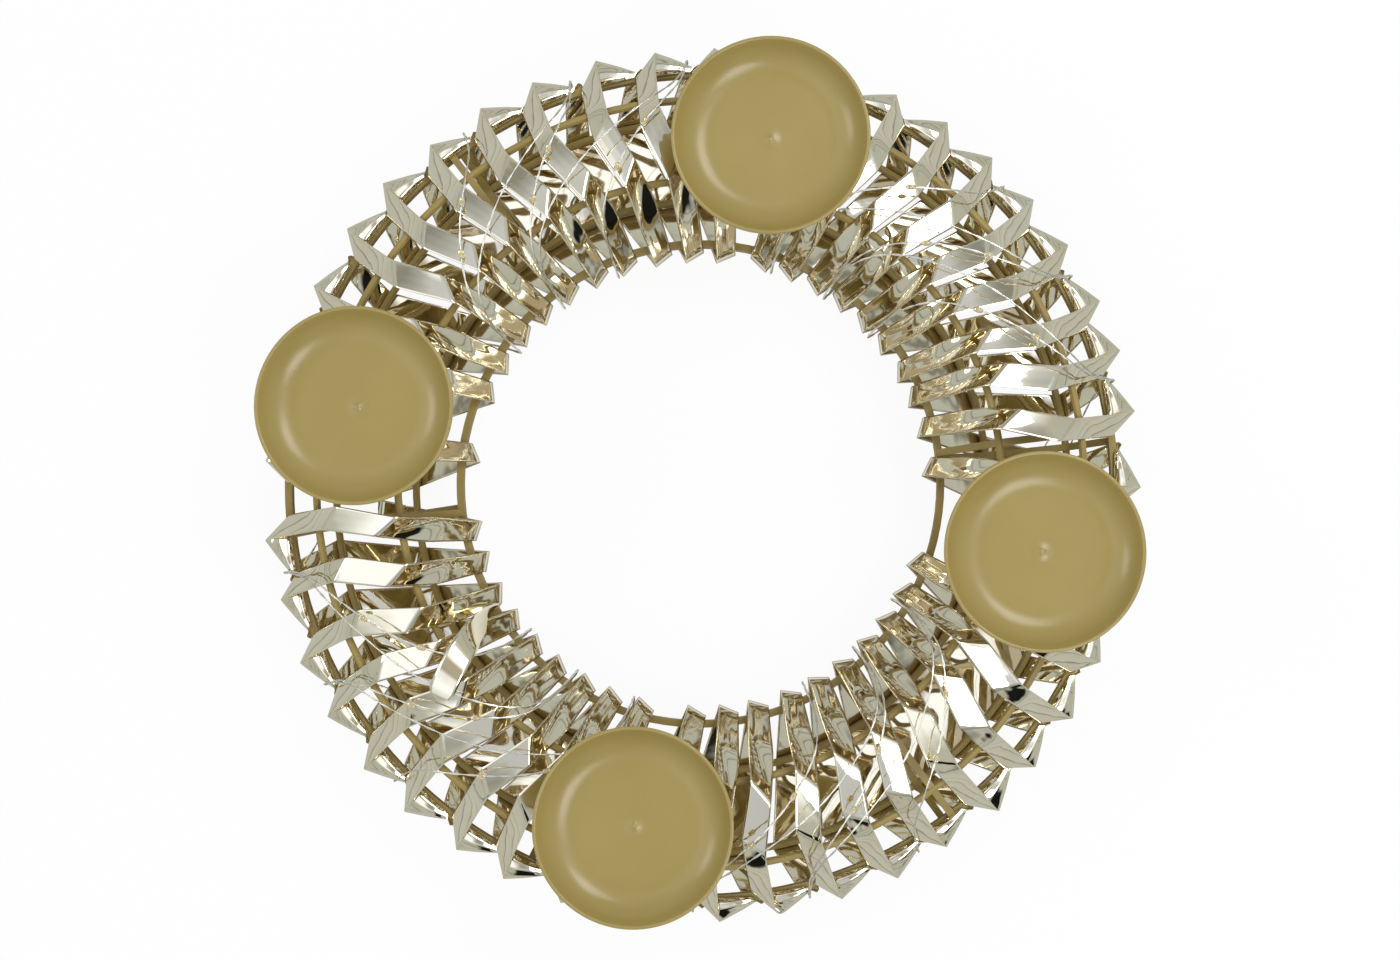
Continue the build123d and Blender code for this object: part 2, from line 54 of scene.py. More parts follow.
print("frame loaded:", len(frame["nodes"]), "nodes")

# %% [markdown]
# ## The camera
#
# The photograph looks almost straight down, from a little below the middle. A camera could be turned by
# hand until the picture fits, or be tied to a target. Here three vectors place it: the way back from the
# target, the way that is right in the picture, and their cross product, which also holds in a steep view.
# The lens follows from the distance and from how many pixels a millimetre takes at the cage's rims.

# %% Camera above the wreath
RIM_HEIGHT = 27.0
CAMERA_HEIGHT = 825.0
CAMERA_OFFSET = (16.0, -33.0)
LOOK_AT = (0.0, 1.2, RIM_HEIGHT)
PIXELS_PER_MM = 2.5
PHOTO_WIDTH = 1400
SENSOR_WIDTH = 36.0
FURTHEST_VIEW = 20.0


def aim(place, target):
    """A rotation that looks from place to target with +Y up in the picture."""
    back = (place - target).normalized()
    right = Vector((0, 1, 0)).cross(back).normalized()
    up = back.cross(right)
    return Matrix((right, up, back)).transposed().to_euler()


camera_data = bpy.data.cameras.new("camera")
camera_data.sensor_width = SENSOR_WIDTH
camera_data.lens = PIXELS_PER_MM * CAMERA_HEIGHT / PHOTO_WIDTH * SENSOR_WIDTH
camera_data.clip_end = FURTHEST_VIEW
camera = bpy.data.objects.new("camera", camera_data)
camera.location = Vector((*CAMERA_OFFSET, RIM_HEIGHT + CAMERA_HEIGHT)) * MM
camera.rotation_euler = aim(camera.location, Vector(LOOK_AT) * MM)
bpy.context.scene.collection.objects.link(camera)
bpy.context.scene.camera = camera
print("lens", round(camera_data.lens, 1), "mm")

# %% [markdown]
# ## Places and pieces
#
# The wreath is round, so a place on it is said as a radius, an azimuth and a height. A piece could start
# from one of Blender's stock meshes, but its own points and faces give control of every edge. Each new
# piece is told which body it moves with and which solid it stands for.

# %% A place and a piece
CAGE = "frame"


def spot(radius, azimuth, height):
    """A point about the wreath's axis, from millimetres and degrees to metres."""
    turn = math.radians(azimuth)
    return Vector((radius * math.cos(turn), radius * math.sin(turn), height)) * MM


def new_piece(name, points, faces, body, stands_for=None):
    """A smooth-shaded mesh that rides on a body."""
    mesh = bpy.data.meshes.new(name)
    mesh.from_pydata([tuple(point) for point in points], [], faces)
    mesh.validate()
    for polygon in mesh.polygons:
        polygon.use_smooth = True
    piece = bpy.data.objects.new(name, mesh)
    bpy.context.scene.collection.objects.link(piece)
    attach(piece, body)
    if stands_for:
        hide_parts(stands_for)
    return piece


print("100 mm out at 90 degrees:", [round(value, 3) for value in spot(100.0, 90.0, RIM_HEIGHT)])

# %% [markdown]
# Film, strands, drops and plates are long or round, so each is a skin over rows of points that lie across
# it or in rings about its middle. Bevelled curves and the Screw modifier could do this too, with another
# set-up for each. One function that joins row to row gives all of them the same clean quads.

# %% Rows joined into a skin


def join_rows(rows, close_rows=False, close_ends=False):
    """Points and faces of a skin over rows that all have the same number of points."""
    points = [point for row in rows for point in row]
    width = len(rows[0])
    faces = []
    for first in range(len(rows) - 1):
        for column in range(width if close_rows else width - 1):
            after = (column + 1) % width
            low = first * width
            high = low + width
            faces.append((low + column, low + after, high + after, high + column))
    if close_ends:
        faces.append(tuple(range(width - 1, -1, -1)))
        last = (len(rows) - 1) * width
        faces.append(tuple(range(last, last + width)))
    return points, faces


def add_form(points, faces, form):
    """Add another form's points and faces to those gathered so far."""
    more_points, more_faces = form
    base = len(points)
    points += more_points
    faces += [tuple(corner + base for corner in face) for face in more_faces]


print("faces of a tube of 3 rings with 4 points:", len(join_rows([[0] * 4] * 3, close_rows=True)[1]))

# %% [markdown]
# ## The film strip
#
# The strip is a flat film about ten millimetres wide. It goes over the top hoops, folds at the inner
# rim, runs back underneath and folds again outside the outer rim, where it leaves the pointed tips that
# make the wreath's outline. A cloth simulation could wind it, but nobody could say where its folds would
# end up. So each fold is drawn as a line from one edge of the film, A, to the other, B. A turn is a list
# of such lines, and the skin between two of them is a ruled patch, which bends light as real film does.

# %% Cage sizes that the film follows
OUTER_RIM = 165.0
INNER_RIM = 96.0
RIM_DEPTH = 2.4
OUTER_HOOP = 150.0
OUTER_RISE = 20.0
INNER_HOOP = 117.5
INNER_RISE = 23.0
SEAT_RADIUS = (OUTER_HOOP + INNER_HOOP) / 2
FILM_WIDTH = 10.4
FILM_LAY = 2.0
print("from rim to rim:", OUTER_RIM - INNER_RIM, "mm")

# %% [markdown]
# Between the plates lie four lengths of film with about forty turns. The tip of every turn could be typed
# in, but a length is easier to change when it is given by its first tip, its last tip and their number.
# Two lengths have one more tip that stands apart. The hand says which way the film leans.

# %% Tips of the four lengths


def even_tips(first, last, count):
    """Azimuths of outer folds that are evenly spaced."""
    return [first + (last - first) * index / (count - 1) for index in range(count)]


STRIPS = (
    (even_tips(70.5, 9.7, 9) + [-1.0], 1),
    (even_tips(88.0, 160.7, 10) + [177.0], -1),
    (even_tips(252.1, 187.9, 9), 1),
    (even_tips(-24.1, -95.2, 10), 1),
)
print("film turns:", sum(len(tips) for tips, hand in STRIPS))

# %% [markdown]
# A line across the film has a place for each edge, a rounding and a bow. A pressed fold has a rounding of
# about a millimetre, and where the film only bends the rounding is larger. Bevelling finished edges could
# round them too, but with the rounding kept in the line the skin is right from the start.

# %% A line across the film
SHARP = 0.8
CRISP = 1.6
SOFT = 6.0


def film_line(end_a, end_b, rounding, bow=0.0):
    """A line across the film between two places, each given as radius, rise and azimuth."""
    (radius_a, rise_a, azimuth_a), (radius_b, rise_b, azimuth_b) = end_a, end_b
    place_a = spot(radius_a, azimuth_a, RIM_HEIGHT + rise_a)
    place_b = spot(radius_b, azimuth_b, RIM_HEIGHT + rise_b)
    return place_a, place_b, rounding, bow


def fold(edge_a, edge_b, centre, share, hand, rounding, bow=0.0):
    """A line about a middle azimuth that takes a share of the film's width along the rim."""
    (radius_a, rise_a), (radius_b, rise_b) = edge_a, edge_b
    half_a = math.degrees(share * FILM_WIDTH / 2 / radius_a)
    half_b = math.degrees(share * FILM_WIDTH / 2 / radius_b)
    end_a = (radius_a, rise_a, centre + hand * half_a)
    end_b = (radius_b, rise_b, centre - hand * half_b)
    return film_line(end_a, end_b, rounding, bow)


level_fold = fold((OUTER_HOOP, 0.0), (OUTER_HOOP, 0.0), 0.0, 1.0, 1, SHARP)
print("a level fold is", round((level_fold[0] - level_fold[1]).length / MM, 1), "mm long")

# %% [markdown]
# At the outer rim the film comes up from below, is pinched nearly to a point and opens over the rim as half
# a cone. That cone gives each tip its bright and dark streaks. A cone primitive would have to be cut and
# fitted to the strip, so the cone is part of the strip here: three lines pinch it and a bowed one opens it.

# %% The cone at a tip
PINCH = 1.0
CONE_BOW = 2.2
TIP_REACH = 11.0
TIP_INSET = 0.5
# For edges A and B: millimetres beyond the outer rim, rise above the rims, degrees ahead of the tip
UNDER_RIM = ((3.2, -3.4, 6.4), (2.4, -9.0, 3.4))
PINCH_BELOW = ((4.0, 0.8, 5.8), (3.0, 0.2, 5.3))
PINCH_ABOVE = ((2.0, 3.3, 5.2), (0.2, 3.5, 4.8))
# For edges A and B, half way up the cone
CONE_RISES = (2.2, 4.0)
CONE_TURNS = (2.6, 0.9)


def rim_line(ends, tip, hand, rounding):
    """A line across the film just outside the outer rim."""
    places = [(OUTER_RIM + beyond, rise, tip + hand * ahead) for beyond, rise, ahead in ends]
    return film_line(*places, rounding)


def cone_lines(tip, hand, tip_radius):
    """The lines from under the outer rim to the middle of the cone."""
    half_way = (OUTER_RIM + PINCH_ABOVE[0][0] + tip_radius) / 2
    cone_a = (half_way, CONE_RISES[0], tip + hand * CONE_TURNS[0])
    cone_b = (OUTER_RIM - TIP_INSET, CONE_RISES[1], tip + hand * CONE_TURNS[1])
    return [
        rim_line(UNDER_RIM, tip, hand, SOFT),
        rim_line(PINCH_BELOW, tip, hand, PINCH),
        rim_line(PINCH_ABOVE, tip, hand, PINCH),
        film_line(cone_a, cone_b, SOFT, CONE_BOW),
    ]


print("lines in a cone:", len(cone_lines(0.0, 1, OUTER_RIM + TIP_REACH)))

# %% [markdown]
# From its tip the film climbs over the outer hoop to the shoulder, its first fold on top. Two lines would
# do for this facet. A third one over the hoop lets it bow slightly, and a bowed mirror shows long streaks
# where a flat one shows a single tone. Two tips of the real film have sprung open into a round loop.

# %% Tip, hoop and shoulder
TIP_RISE = 1.0
TIP_TURN = -1.5
TIP_SHARE = 0.86
SHOULDER_A = OUTER_HOOP - 1.25 * FILM_LAY
SHOULDER_TURN = -1.6
SHOULDER_SHARE = 0.8
HOOP_EDGES = ((OUTER_HOOP + 2.5, OUTER_RISE + 1.8), (OUTER_HOOP + 0.5, OUTER_RISE + 2.6))
RIM_LAY = 2.6
OUTER_STEEPNESS = 0.86
FACET_BOW = 0.3
OPEN_LOOP = 6.0
OPEN_TIPS = (217.1, -81.4)
SAME_TIP = 3.0


def facet_level(radius):
    """The rise of the outer facet's lower edge above the rims at a radius."""
    return 2 * TIP_RISE + OUTER_STEEPNESS * (OUTER_RIM + RIM_LAY - radius)


def outer_folds(tip, hand, tip_a, shoulder_b, lift):
    """The tip, a line over the outer hoop and the shoulder."""
    opened = any(abs(tip - other) < SAME_TIP for other in OPEN_TIPS)
    tip_round = OPEN_LOOP if opened else SHARP
    tip_b = OUTER_RIM - TIP_INSET
    tip_edges = ((tip_a, TIP_RISE), (tip_b, facet_level(tip_b)))
    high_edge = (SHOULDER_A, OUTER_RISE + 3 * FILM_LAY)
    low_edge = (shoulder_b, facet_level(shoulder_b) + lift)
    centre = tip + hand * SHOULDER_TURN
    return [
        fold(*tip_edges, tip + hand * TIP_TURN, TIP_SHARE, hand, tip_round, FACET_BOW),
        fold(*HOOP_EDGES, centre, SHOULDER_SHARE, hand, SOFT, FACET_BOW),
        fold(high_edge, low_edge, centre, SHOULDER_SHARE, hand, CRISP, FACET_BOW),
    ]


print("the outer facet reaches", round(facet_level(SHOULDER_A), 1), "mm above the rims")

# %% [markdown]
# Behind the shoulder a flat facet ends at the brow, from which the film drops to two creases round the
# inner rim. The brow could be placed freely, but then the facet would be twisted and mirror a blur. Its
# edge B is moved into the plane of the other three corners instead, so the facet stays flat.

# %% Brow, slope and creases
LOWEST_BROW = 53.0
HIGHEST_FOLD = 60.5
BROW_B = INNER_HOOP - FILM_LAY / 2
FOLD_SLANT = 9.0
BROW_TURN = 1.55
BROW_SHARE = 0.56
SLOPE_A = (INNER_HOOP - 3 * FILM_LAY, INNER_RISE - 1.4)
SLOPE_B = (INNER_RIM + 2 * FILM_LAY, INNER_RISE / 2 + 3.0)
SLOPE_TURN = 3.35
SLOPE_SHARE = 0.76
INNER_REACH = 7.0
CREASE_A = INNER_RIM - 1.5 * FILM_LAY
CREASE_B = INNER_RIM - INNER_REACH
CREASE_ABOVE = ((CREASE_A, RIM_DEPTH + 0.6), (CREASE_B, RIM_DEPTH))
CREASE_BELOW = ((CREASE_A, -RIM_DEPTH - 1.1), (CREASE_B - 0.5, -RIM_DEPTH / 2))
CREASE_TURN = 4.75
CREASE_SHARE = 0.69


def level_in_plane(place, corners):
    """The place moved up or down into the plane of three corners."""
    first, second, third = corners
    normal = (second - first).cross(third - first)
    flat = place - first
    height = first.z - (normal.x * flat.x + normal.y * flat.y) / normal.z
    return Vector((place.x, place.y, min(max(height, LOWEST_BROW * MM), HIGHEST_FOLD * MM)))


def inner_folds(tip, hand, brow_rise, sway, shoulder):
    """The brow, a line on the inner slope and two creases at the inner rim."""
    brow_edges = ((BROW_B + FOLD_SLANT + FILM_LAY, brow_rise), (BROW_B, INNER_RISE + 2 * FILM_LAY))
    brow = fold(*brow_edges, tip + hand * (BROW_TURN + sway), BROW_SHARE, hand, SOFT)
    level_b = level_in_plane(brow[1], (shoulder[0], shoulder[1], brow[0]))
    slope_centre = tip + hand * (SLOPE_TURN + sway)
    crease_centre = tip + hand * CREASE_TURN
    return [
        (brow[0], level_b, CRISP, 0.0),
        fold(SLOPE_A, SLOPE_B, slope_centre, SLOPE_SHARE, hand, SOFT, FACET_BOW),
        fold(*CREASE_ABOVE, crease_centre, CREASE_SHARE, hand, SHARP),
        fold(*CREASE_BELOW, crease_centre, CREASE_SHARE, hand, SHARP),
    ]


print("from shoulder to brow:", SHOULDER_A - BROW_B, "mm")

# %% [markdown]
# No two turns of hand-wound film are alike. Points could be jittered afterwards, but that would crumple the
# film. So a seeded generator changes a few sizes of each turn before its lines are drawn: how far the tip
# reaches, how steep the top facet is and how much the brow sways. The film stays taut between its folds.

# %% One turn over the top
SHOULDER_SLANTS = (7.5, 9.5)
FLAT_LIFTS = (0.0, 1.6)
STEEP_LIFTS = (4.5, 6.5)
STEEP_SHARE = 0.6
BROW_LIFTS = (7.6, 8.8)
TIP_CHANGES = (-1.6, 0.4)
SWAY = 0.6


def top_folds(tip, hand, dice):
    """The lines of one turn from under the outer rim, over the top and round the inner rim."""
    shoulder_b = SHOULDER_A - dice.uniform(*SHOULDER_SLANTS)
    lifts = STEEP_LIFTS if dice.random() < STEEP_SHARE else FLAT_LIFTS
    lift = dice.uniform(*lifts)
    brow_rise = INNER_RISE + dice.uniform(*BROW_LIFTS)
    tip_a = OUTER_RIM + TIP_REACH + dice.uniform(*TIP_CHANGES)
    sway = dice.uniform(-SWAY, SWAY)
    outer = outer_folds(tip, hand, tip_a, shoulder_b, lift)
    return cone_lines(tip, hand, tip_a) + outer + inner_folds(tip, hand, brow_rise, sway, outer[-1])


print("share of steep turns:", STEEP_SHARE)

# %% [markdown]
# Underneath, the film runs on from the inner hoop to the outer hoop and to the next tip. It is seen only
# through gaps and could be left flat. Rolled a little about its length, it shows the gaps between the upper
# turns as a play of tones.

# %% The way back below
TIP_UNEVEN = 0.5
BOTTOM_ROLLS = (2.5, 6.0)
ROLL_REST = 0.6
ROLL_SHARE = 0.92
ROLLED = 9.0
LOWER_INNER = (INNER_HOOP - 0.45 * FILM_LAY, -INNER_RISE - 1.05 * FILM_LAY)
LOWER_OUTER = (OUTER_HOOP + 0.55 * FILM_LAY, -OUTER_RISE - FILM_LAY)
ARRIVAL_TURN = 0.3
TRAVEL_SHARES = (0.44, 0.66, 0.82)
FILM_SEED = 40


def bottom_folds(tip, after, hand, dice):
    """The lines below: at the inner hoop, half way and at the outer hoop."""
    leave = tip + hand * CREASE_TURN
    travel = after + hand * ARRIVAL_TURN - leave
    inner_place, half_way, outer_place = [leave + travel * share for share in TRAVEL_SHARES]
    level = LOWER_INNER[1]
    rolled_a = (SEAT_RADIUS, level + dice.uniform(*BOTTOM_ROLLS))
    rolled_b = (SEAT_RADIUS, level + ROLL_REST)
    return [
        fold(LOWER_INNER, LOWER_INNER, inner_place, 1.0, hand, SHARP),
        fold(rolled_a, rolled_b, half_way, ROLL_SHARE, hand, ROLLED),
        fold(LOWER_OUTER, LOWER_OUTER, outer_place, 1.0, hand, SHARP),
    ]


def strip_folds(tips, hand, dice):
    """All lines of one length of film, in order."""
    pitch = abs(tips[1] - tips[0])
    following = tips[1:] + [tips[-1] - hand * pitch]
    folds = []
    for tip, after in zip(tips, following):
        folds += top_folds(tip + dice.uniform(-TIP_UNEVEN, TIP_UNEVEN), hand, dice)
        folds += bottom_folds(tip, after, hand, dice)
    return folds[:-1]


strip_lines = []
for number, (tips, hand) in enumerate(STRIPS, 1):
    strip_lines.append(strip_folds(tips, hand, random.Random(FILM_SEED + number)))
print("lines in each length:", [len(folds) for folds in strip_lines])

# %% [markdown]
# The edges of the film are two polylines. A subdivision surface would round every corner alike. Here each
# corner becomes a short quadratic curve of its own size, so that a fold catches the light as a bright line,
# and the flat between two folds gets a few rows of its own.

# %% Rounded edges
ROWS_IN_FOLD = 6
ROWS_IN_FLAT = 3
LONGEST_ROUNDING = 0.45


def rounded_edge(points, roundings):
    """A polyline with each inner corner replaced by a short curve of a fixed count of points."""
    last = len(points) - 1
    out = [points[0]]
    for index in range(1, last):
        before, here, after = points[index - 1], points[index], points[index + 1]
        size = roundings[index] * MM
        enter = here + (before - here) * min(LONGEST_ROUNDING, size / (before - here).length)
        leave = here + (after - here) * min(LONGEST_ROUNDING, size / (after - here).length)
        start = out[-1]
        for step in range(1, ROWS_IN_FLAT + 1):
            out.append(start.lerp(enter, step / (ROWS_IN_FLAT + 1)))
        for step in range(ROWS_IN_FOLD):
            share = step / (ROWS_IN_FOLD - 1)
            out.append(enter.lerp(here, share).lerp(here.lerp(leave, share), share))
    start = out[-1]
    for step in range(1, ROWS_IN_FLAT + 2):
        out.append(start.lerp(points[last], step / (ROWS_IN_FLAT + 1)))
    return out


def spread_bows(bows, count):
    """The bow of every row, smoothly from fold to fold."""
    spread = []
    for index in range(count):
        place = index / (count - 1) * (len(bows) - 1)
        low = min(int(place), len(bows) - 2)
        ease = (1 - math.cos(math.pi * (place - low))) / 2
        spread.append(bows[low] + (bows[low + 1] - bows[low]) * ease)
    return spread


print("rows for each line:", ROWS_IN_FOLD + ROWS_IN_FLAT)

# %% [markdown]
# The skin is spanned between the two edges, lifted by the bow and faintly rippled along its length. Film
# has a thickness one can barely feel. A second skin could be modelled for it, but the Solidify modifier
# gives both sides and the cut edges, and its value can still be changed later.

# %% Film skin
COLUMNS = 12
RIPPLES = 3
RIPPLE_SHARE = 0.06
FILM_THICKNESS = 0.14


def film_skin(name, rows, stands_for=None):
    """A thin film over rows of points."""
    points, faces = join_rows(rows)
    piece = new_piece(name, points, faces, CAGE, stands_for)
    skin = piece.modifiers.new("thickness", "SOLIDIFY")
    skin.thickness = FILM_THICKNESS * MM
    skin.offset = 0.0
    return piece


def film_rows(folds):
    """Rows of points across one length of film."""
    ends_a, ends_b, roundings, bows = zip(*folds)
    edge_a = rounded_edge(ends_a, roundings)
    edge_b = rounded_edge(ends_b, roundings)
    rows = []
    for point_a, point_b, bow in zip(edge_a, edge_b, spread_bows(bows, len(edge_a))):
        row = []
        for column in range(COLUMNS + 1):
            share = column / COLUMNS
            ripple = RIPPLE_SHARE * math.sin(math.tau * RIPPLES * share)
            lift = bow * MM * (4 * share * (1 - share) + ripple)
            row.append(point_a.lerp(point_b, share) + Vector((0, 0, lift)))
        rows.append(row)
    return rows


films = []
for number, folds in enumerate(strip_lines, 1):
    films.append(film_skin(f"film_strip_{number}", film_rows(folds), f"ribbon_{number}"))
print("film faces:", sum(len(film.data.polygons) for film in films))

# %% [markdown]
# One cut end of the film has sprung up on the real wreath. It is a tongue with a rounded tip, which starts
# on edge at the inner rim and lies flat over the turns at its tip. A plane with the Curve and Simple Deform
# modifiers would do it too. One quadratic curve with a turning cross line is shorter and easier to place.

# %% The film's free end
TONGUE_ROOT = (97.0, 212.6, 29.8)
TONGUE_PULL = (104.0, 213.2, 74.0)
TONGUE_TIP = (131.0, 220.3, 61.0)
TONGUE_ROWS = 28
TONGUE_COLUMNS = 8
TONGUE_TWIST = 75.0
NARROWEST = 0.02


def tongue_rows():
    """Rows of points across the tongue, twisted at its root and rounded at its tip."""
    root, pull, tip = spot(*TONGUE_ROOT), spot(*TONGUE_PULL), spot(*TONGUE_TIP)
    half_width = FILM_WIDTH / 2 * MM
    length = (pull - root).length / 2 + (tip - pull).length / 2 + (tip - root).length / 2
    rows = []
    for step in range(TONGUE_ROWS + 1):
        share = step / TONGUE_ROWS
        middle = root.lerp(pull, share).lerp(pull.lerp(tip, share), share)
        ahead = ((pull - root) * (1 - share) + (tip - pull) * share).normalized()
        level = ahead.cross(Vector((0, 0, 1))).normalized()
        twist = math.radians(TONGUE_TWIST) * (1 - share) ** 2
        across = level * math.cos(twist) + level.cross(ahead) * math.sin(twist)
        short = max(0.0, 1 - length * (1 - share) / half_width)
        half = half_width * max(NARROWEST, math.sqrt(1 - short * short))
        places = [2 * column / TONGUE_COLUMNS - 1 for column in range(TONGUE_COLUMNS + 1)]
        rows.append([middle + across * half * place for place in places])
    return rows


films.append(film_skin("film_free_end", tongue_rows()))
print("free end faces:", len(films[-1].data.polygons))

# %% [markdown]
# ## The light wire
#
# Two lacquered strands, finer than a pin, run side by side round the wreath. A physics rope could be
# dropped on it, but the wire has to lie where the film leaves room. So its route goes from gap to gap: up
# between two tips, over some turns of film, down between two inner folds and back below. It goes round
# twice, and the second time it slants further and carries no lights.

# %% Gaps that the wire goes through
WIRE_SPAN = 3
LONG_SPAN = 5
WIRE_STEP = 2
FULL_TURN = 360
BOX_AZIMUTH = -12.0
NEXT_TURN = 1.3
OUTER_GAP_TURN = 0.6
INNER_GAP_TURN = 9.5


def wire_gaps(tips, hand):
    """Azimuths of the gaps between evenly wound turns, at the outer and at the inner rim."""
    pitch = abs(tips[1] - tips[0])
    rising = sorted(tips)
    even = [tip for tip in rising if any(0 < abs(tip - other) < NEXT_TURN * pitch for other in rising)]
    pairs = list(zip(even, even[1:]))
    outer = [(low + high + hand * OUTER_GAP_TURN) / 2 for low, high in pairs]
    inner = [(low + high + hand * INNER_GAP_TURN) / 2 for low, high in pairs]
    return outer, inner


def wire_pass(span, start):
    """The outer and inner azimuth of each loop of one pass round the wreath, in order."""
    pairs = []
    for tips, hand in STRIPS:
        outer, inner = wire_gaps(tips, hand)
        turns = start + (FULL_TURN if outer[0] < BOX_AZIMUTH else 0)
        for first in range(0, len(outer) - span, WIRE_STEP):
            pairs.append((outer[first] + turns, inner[first + span] + turns))
    return sorted(pairs)


lit_loops = wire_pass(WIRE_SPAN, 0)
long_loops = wire_pass(LONG_SPAN, FULL_TURN)
print("loops with lights:", len(lit_loops), "long loops:", len(long_loops))

# %% [markdown]
# A loop is a handful of control points, each a radius, a rise and an azimuth. The wire could be drawn by
# hand over the film, but points that come from the cage's sizes keep clear of it on their own. On top they
# follow the highest folds, and below they stay just above the table.

# %% Steps over and under the film
WIRE_LIFT = 2.0
WIRE_LOW = 0.8
OUTER_FOLD = 12.5
INNER_FOLD = 7.0
FILM_TOP = max(OUTER_RISE + OUTER_FOLD, INNER_RISE + INNER_FOLD)
MID_SLOPE = (INNER_HOOP + INNER_RIM) / 2
HOOP_CLEAR = 4.0
TOP_INSET = 3.0
OUTER_SAG = 0.5
INNER_SAG = 1.5
SLOPE_INSET = 2.0
SLOPE_CLEAR = 1.0
LOW_INSET = 3.0
LOW_CLEAR = 2.0
# Radius and rise of the last steps below, on the way out to the next gap
OUTWARD = ((OUTER_HOOP + 2.0, -OUTER_RISE - 2 * FILM_LAY), (OUTER_RIM - 2.0, -OUTER_RISE / 2 - 2.0))


def over_steps(lift):
    """Radius and rise of the steps over the top."""
    top = FILM_TOP + WIRE_LIFT + lift
    return (
        ((OUTER_HOOP + OUTER_RIM) / 2, OUTER_RISE + HOOP_CLEAR),
        (OUTER_HOOP - TOP_INSET, top - OUTER_SAG),
        (SEAT_RADIUS, top),
        (INNER_HOOP, top - INNER_SAG),
        (MID_SLOPE - SLOPE_INSET, INNER_RISE + SLOPE_CLEAR),
    )


def back_steps(lift):
    """Radius and rise of the steps back below."""
    low = WIRE_LOW - RIM_HEIGHT + lift
    inward = (MID_SLOPE - LOW_INSET, LOW_CLEAR - INNER_RISE)
    return (inward, (INNER_HOOP, low), (SEAT_RADIUS, low), *OUTWARD)


print("wire over the rims:", FILM_TOP + WIRE_LIFT, "mm")

# %% [markdown]
# Such steps, strung together, make a loop round the film. A bent circle could stand for it, but the wire
# slants over the top and comes back below to the next gap. So each step also has the share of the way
# that it has come from one gap to the other.

# %% One loop of the wire
OUTSIDE = OUTER_RIM + RIM_LAY + 2.0
# Millimetres beyond the line outside or inside the film, and rise above the rims
CLIMB = ((0.0, -5.0), (0.5, 1.0), (-1.0, 10.0))
DESCENT = ((3.0, INNER_RISE / 2), (0.0, 0.0), (1.5, -INNER_RISE / 2))
OVER_SHARES = (0.03, 0.2, 0.5, 0.82, 0.97)
BACK_SHARES = (0.04, 0.12, 0.38, 0.82, 0.98)


def wire_loop(outer, inner, onward, lift):
    """One loop: up at the outer rim, over the top, down at the inner rim and back below."""
    steps = [(OUTSIDE + beyond, rise, outer) for beyond, rise in CLIMB]
    for (radius, rise), share in zip(over_steps(lift), OVER_SHARES):
        steps.append((radius, rise, outer + (inner - outer) * share))
    steps += [(CREASE_B + beyond, rise, inner) for beyond, rise in DESCENT]
    for (radius, rise), share in zip(back_steps(lift), BACK_SHARES):
        steps.append((radius, rise, inner + (onward - inner) * share))
    return [spot(radius, azimuth, RIM_HEIGHT + rise) for radius, rise, azimuth in steps]


print("steps of a loop:", len(wire_loop(0.0, 0.0, 0.0, 0.0)))

# %% [markdown]
# The route starts at the hole in the battery box, takes the loops one after the other and stops inside the
# inner rim. Single curves could be made for the loops, but one list of points gives one wire without joints.
# The top runs of the first pass are kept too, because the lights sit there.

# %% Route of the wire
LONG_LIFT = 0.9
EXIT_RADIUS = 113.75
EXIT_LEVEL = 15.65
INNER_LEVEL = RIM_HEIGHT - INNER_RISE
# Radius, degrees past the box and height of the steps out of the box
BOX_LEAD = (
    (EXIT_RADIUS, 0.0, EXIT_LEVEL),
    (EXIT_RADIUS - 6.0, 0.0, EXIT_LEVEL - 0.5),
    (INNER_RIM + 6.0, 0.8, INNER_LEVEL + 6.0),
    (INNER_RIM + 8.0, 1.6, INNER_LEVEL + 1.0),
    (INNER_HOOP, 3.2, WIRE_LOW),
)
OUTWARD_TURNS = (2.5, 0.3)
# Steps of a loop between which a light sits, and steps that the last loop leaves out
LIGHT_STEPS = ((4, 5), (5, 6))
STEPS_LEFT_OUT = 3


def lead_out(first_outer):
    """Control points from the battery box to the first loop."""
    points = [spot(radius, BOX_AZIMUTH + past, height) for radius, past, height in BOX_LEAD]
    points.append(spot(SEAT_RADIUS, BOX_AZIMUTH + (first_outer - BOX_AZIMUTH) / 2, WIRE_LOW))
    for (radius, rise), before in zip(OUTWARD, OUTWARD_TURNS):
        points.append(spot(radius, first_outer - before, RIM_HEIGHT + rise))
    return points


def wire_route():
    """Control points of the wire, and the runs that carry a light."""
    pairs = lit_loops + long_loops
    points = lead_out(pairs[0][0])
    lights = []
    for index, (outer, inner) in enumerate(pairs):
        last = index == len(pairs) - 1
        lit = index < len(lit_loops)
        onward = inner if last else pairs[index + 1][0]
        loop = wire_loop(outer, inner, onward, 0.0 if lit else LONG_LIFT)
        if lit:
            lights += [(loop[start], loop[end]) for start, end in LIGHT_STEPS]
        points += loop[:-STEPS_LEFT_OUT] if last else loop
    return points, lights


wire_points, light_runs = wire_route()
print("wire points:", len(wire_points), "lights:", len(light_runs))

# %% [markdown]
# The points of the route are too far apart for a wire. Straight runs could join them, but a wire bends in
# long curves. A NURBS curve runs smoothly along such control points, and the mesh made from it gives
# closely spaced points to build on.

# %% Smooth line of the wire
ROUTE_ORDER = 3
ROUTE_RESOLUTION = 6


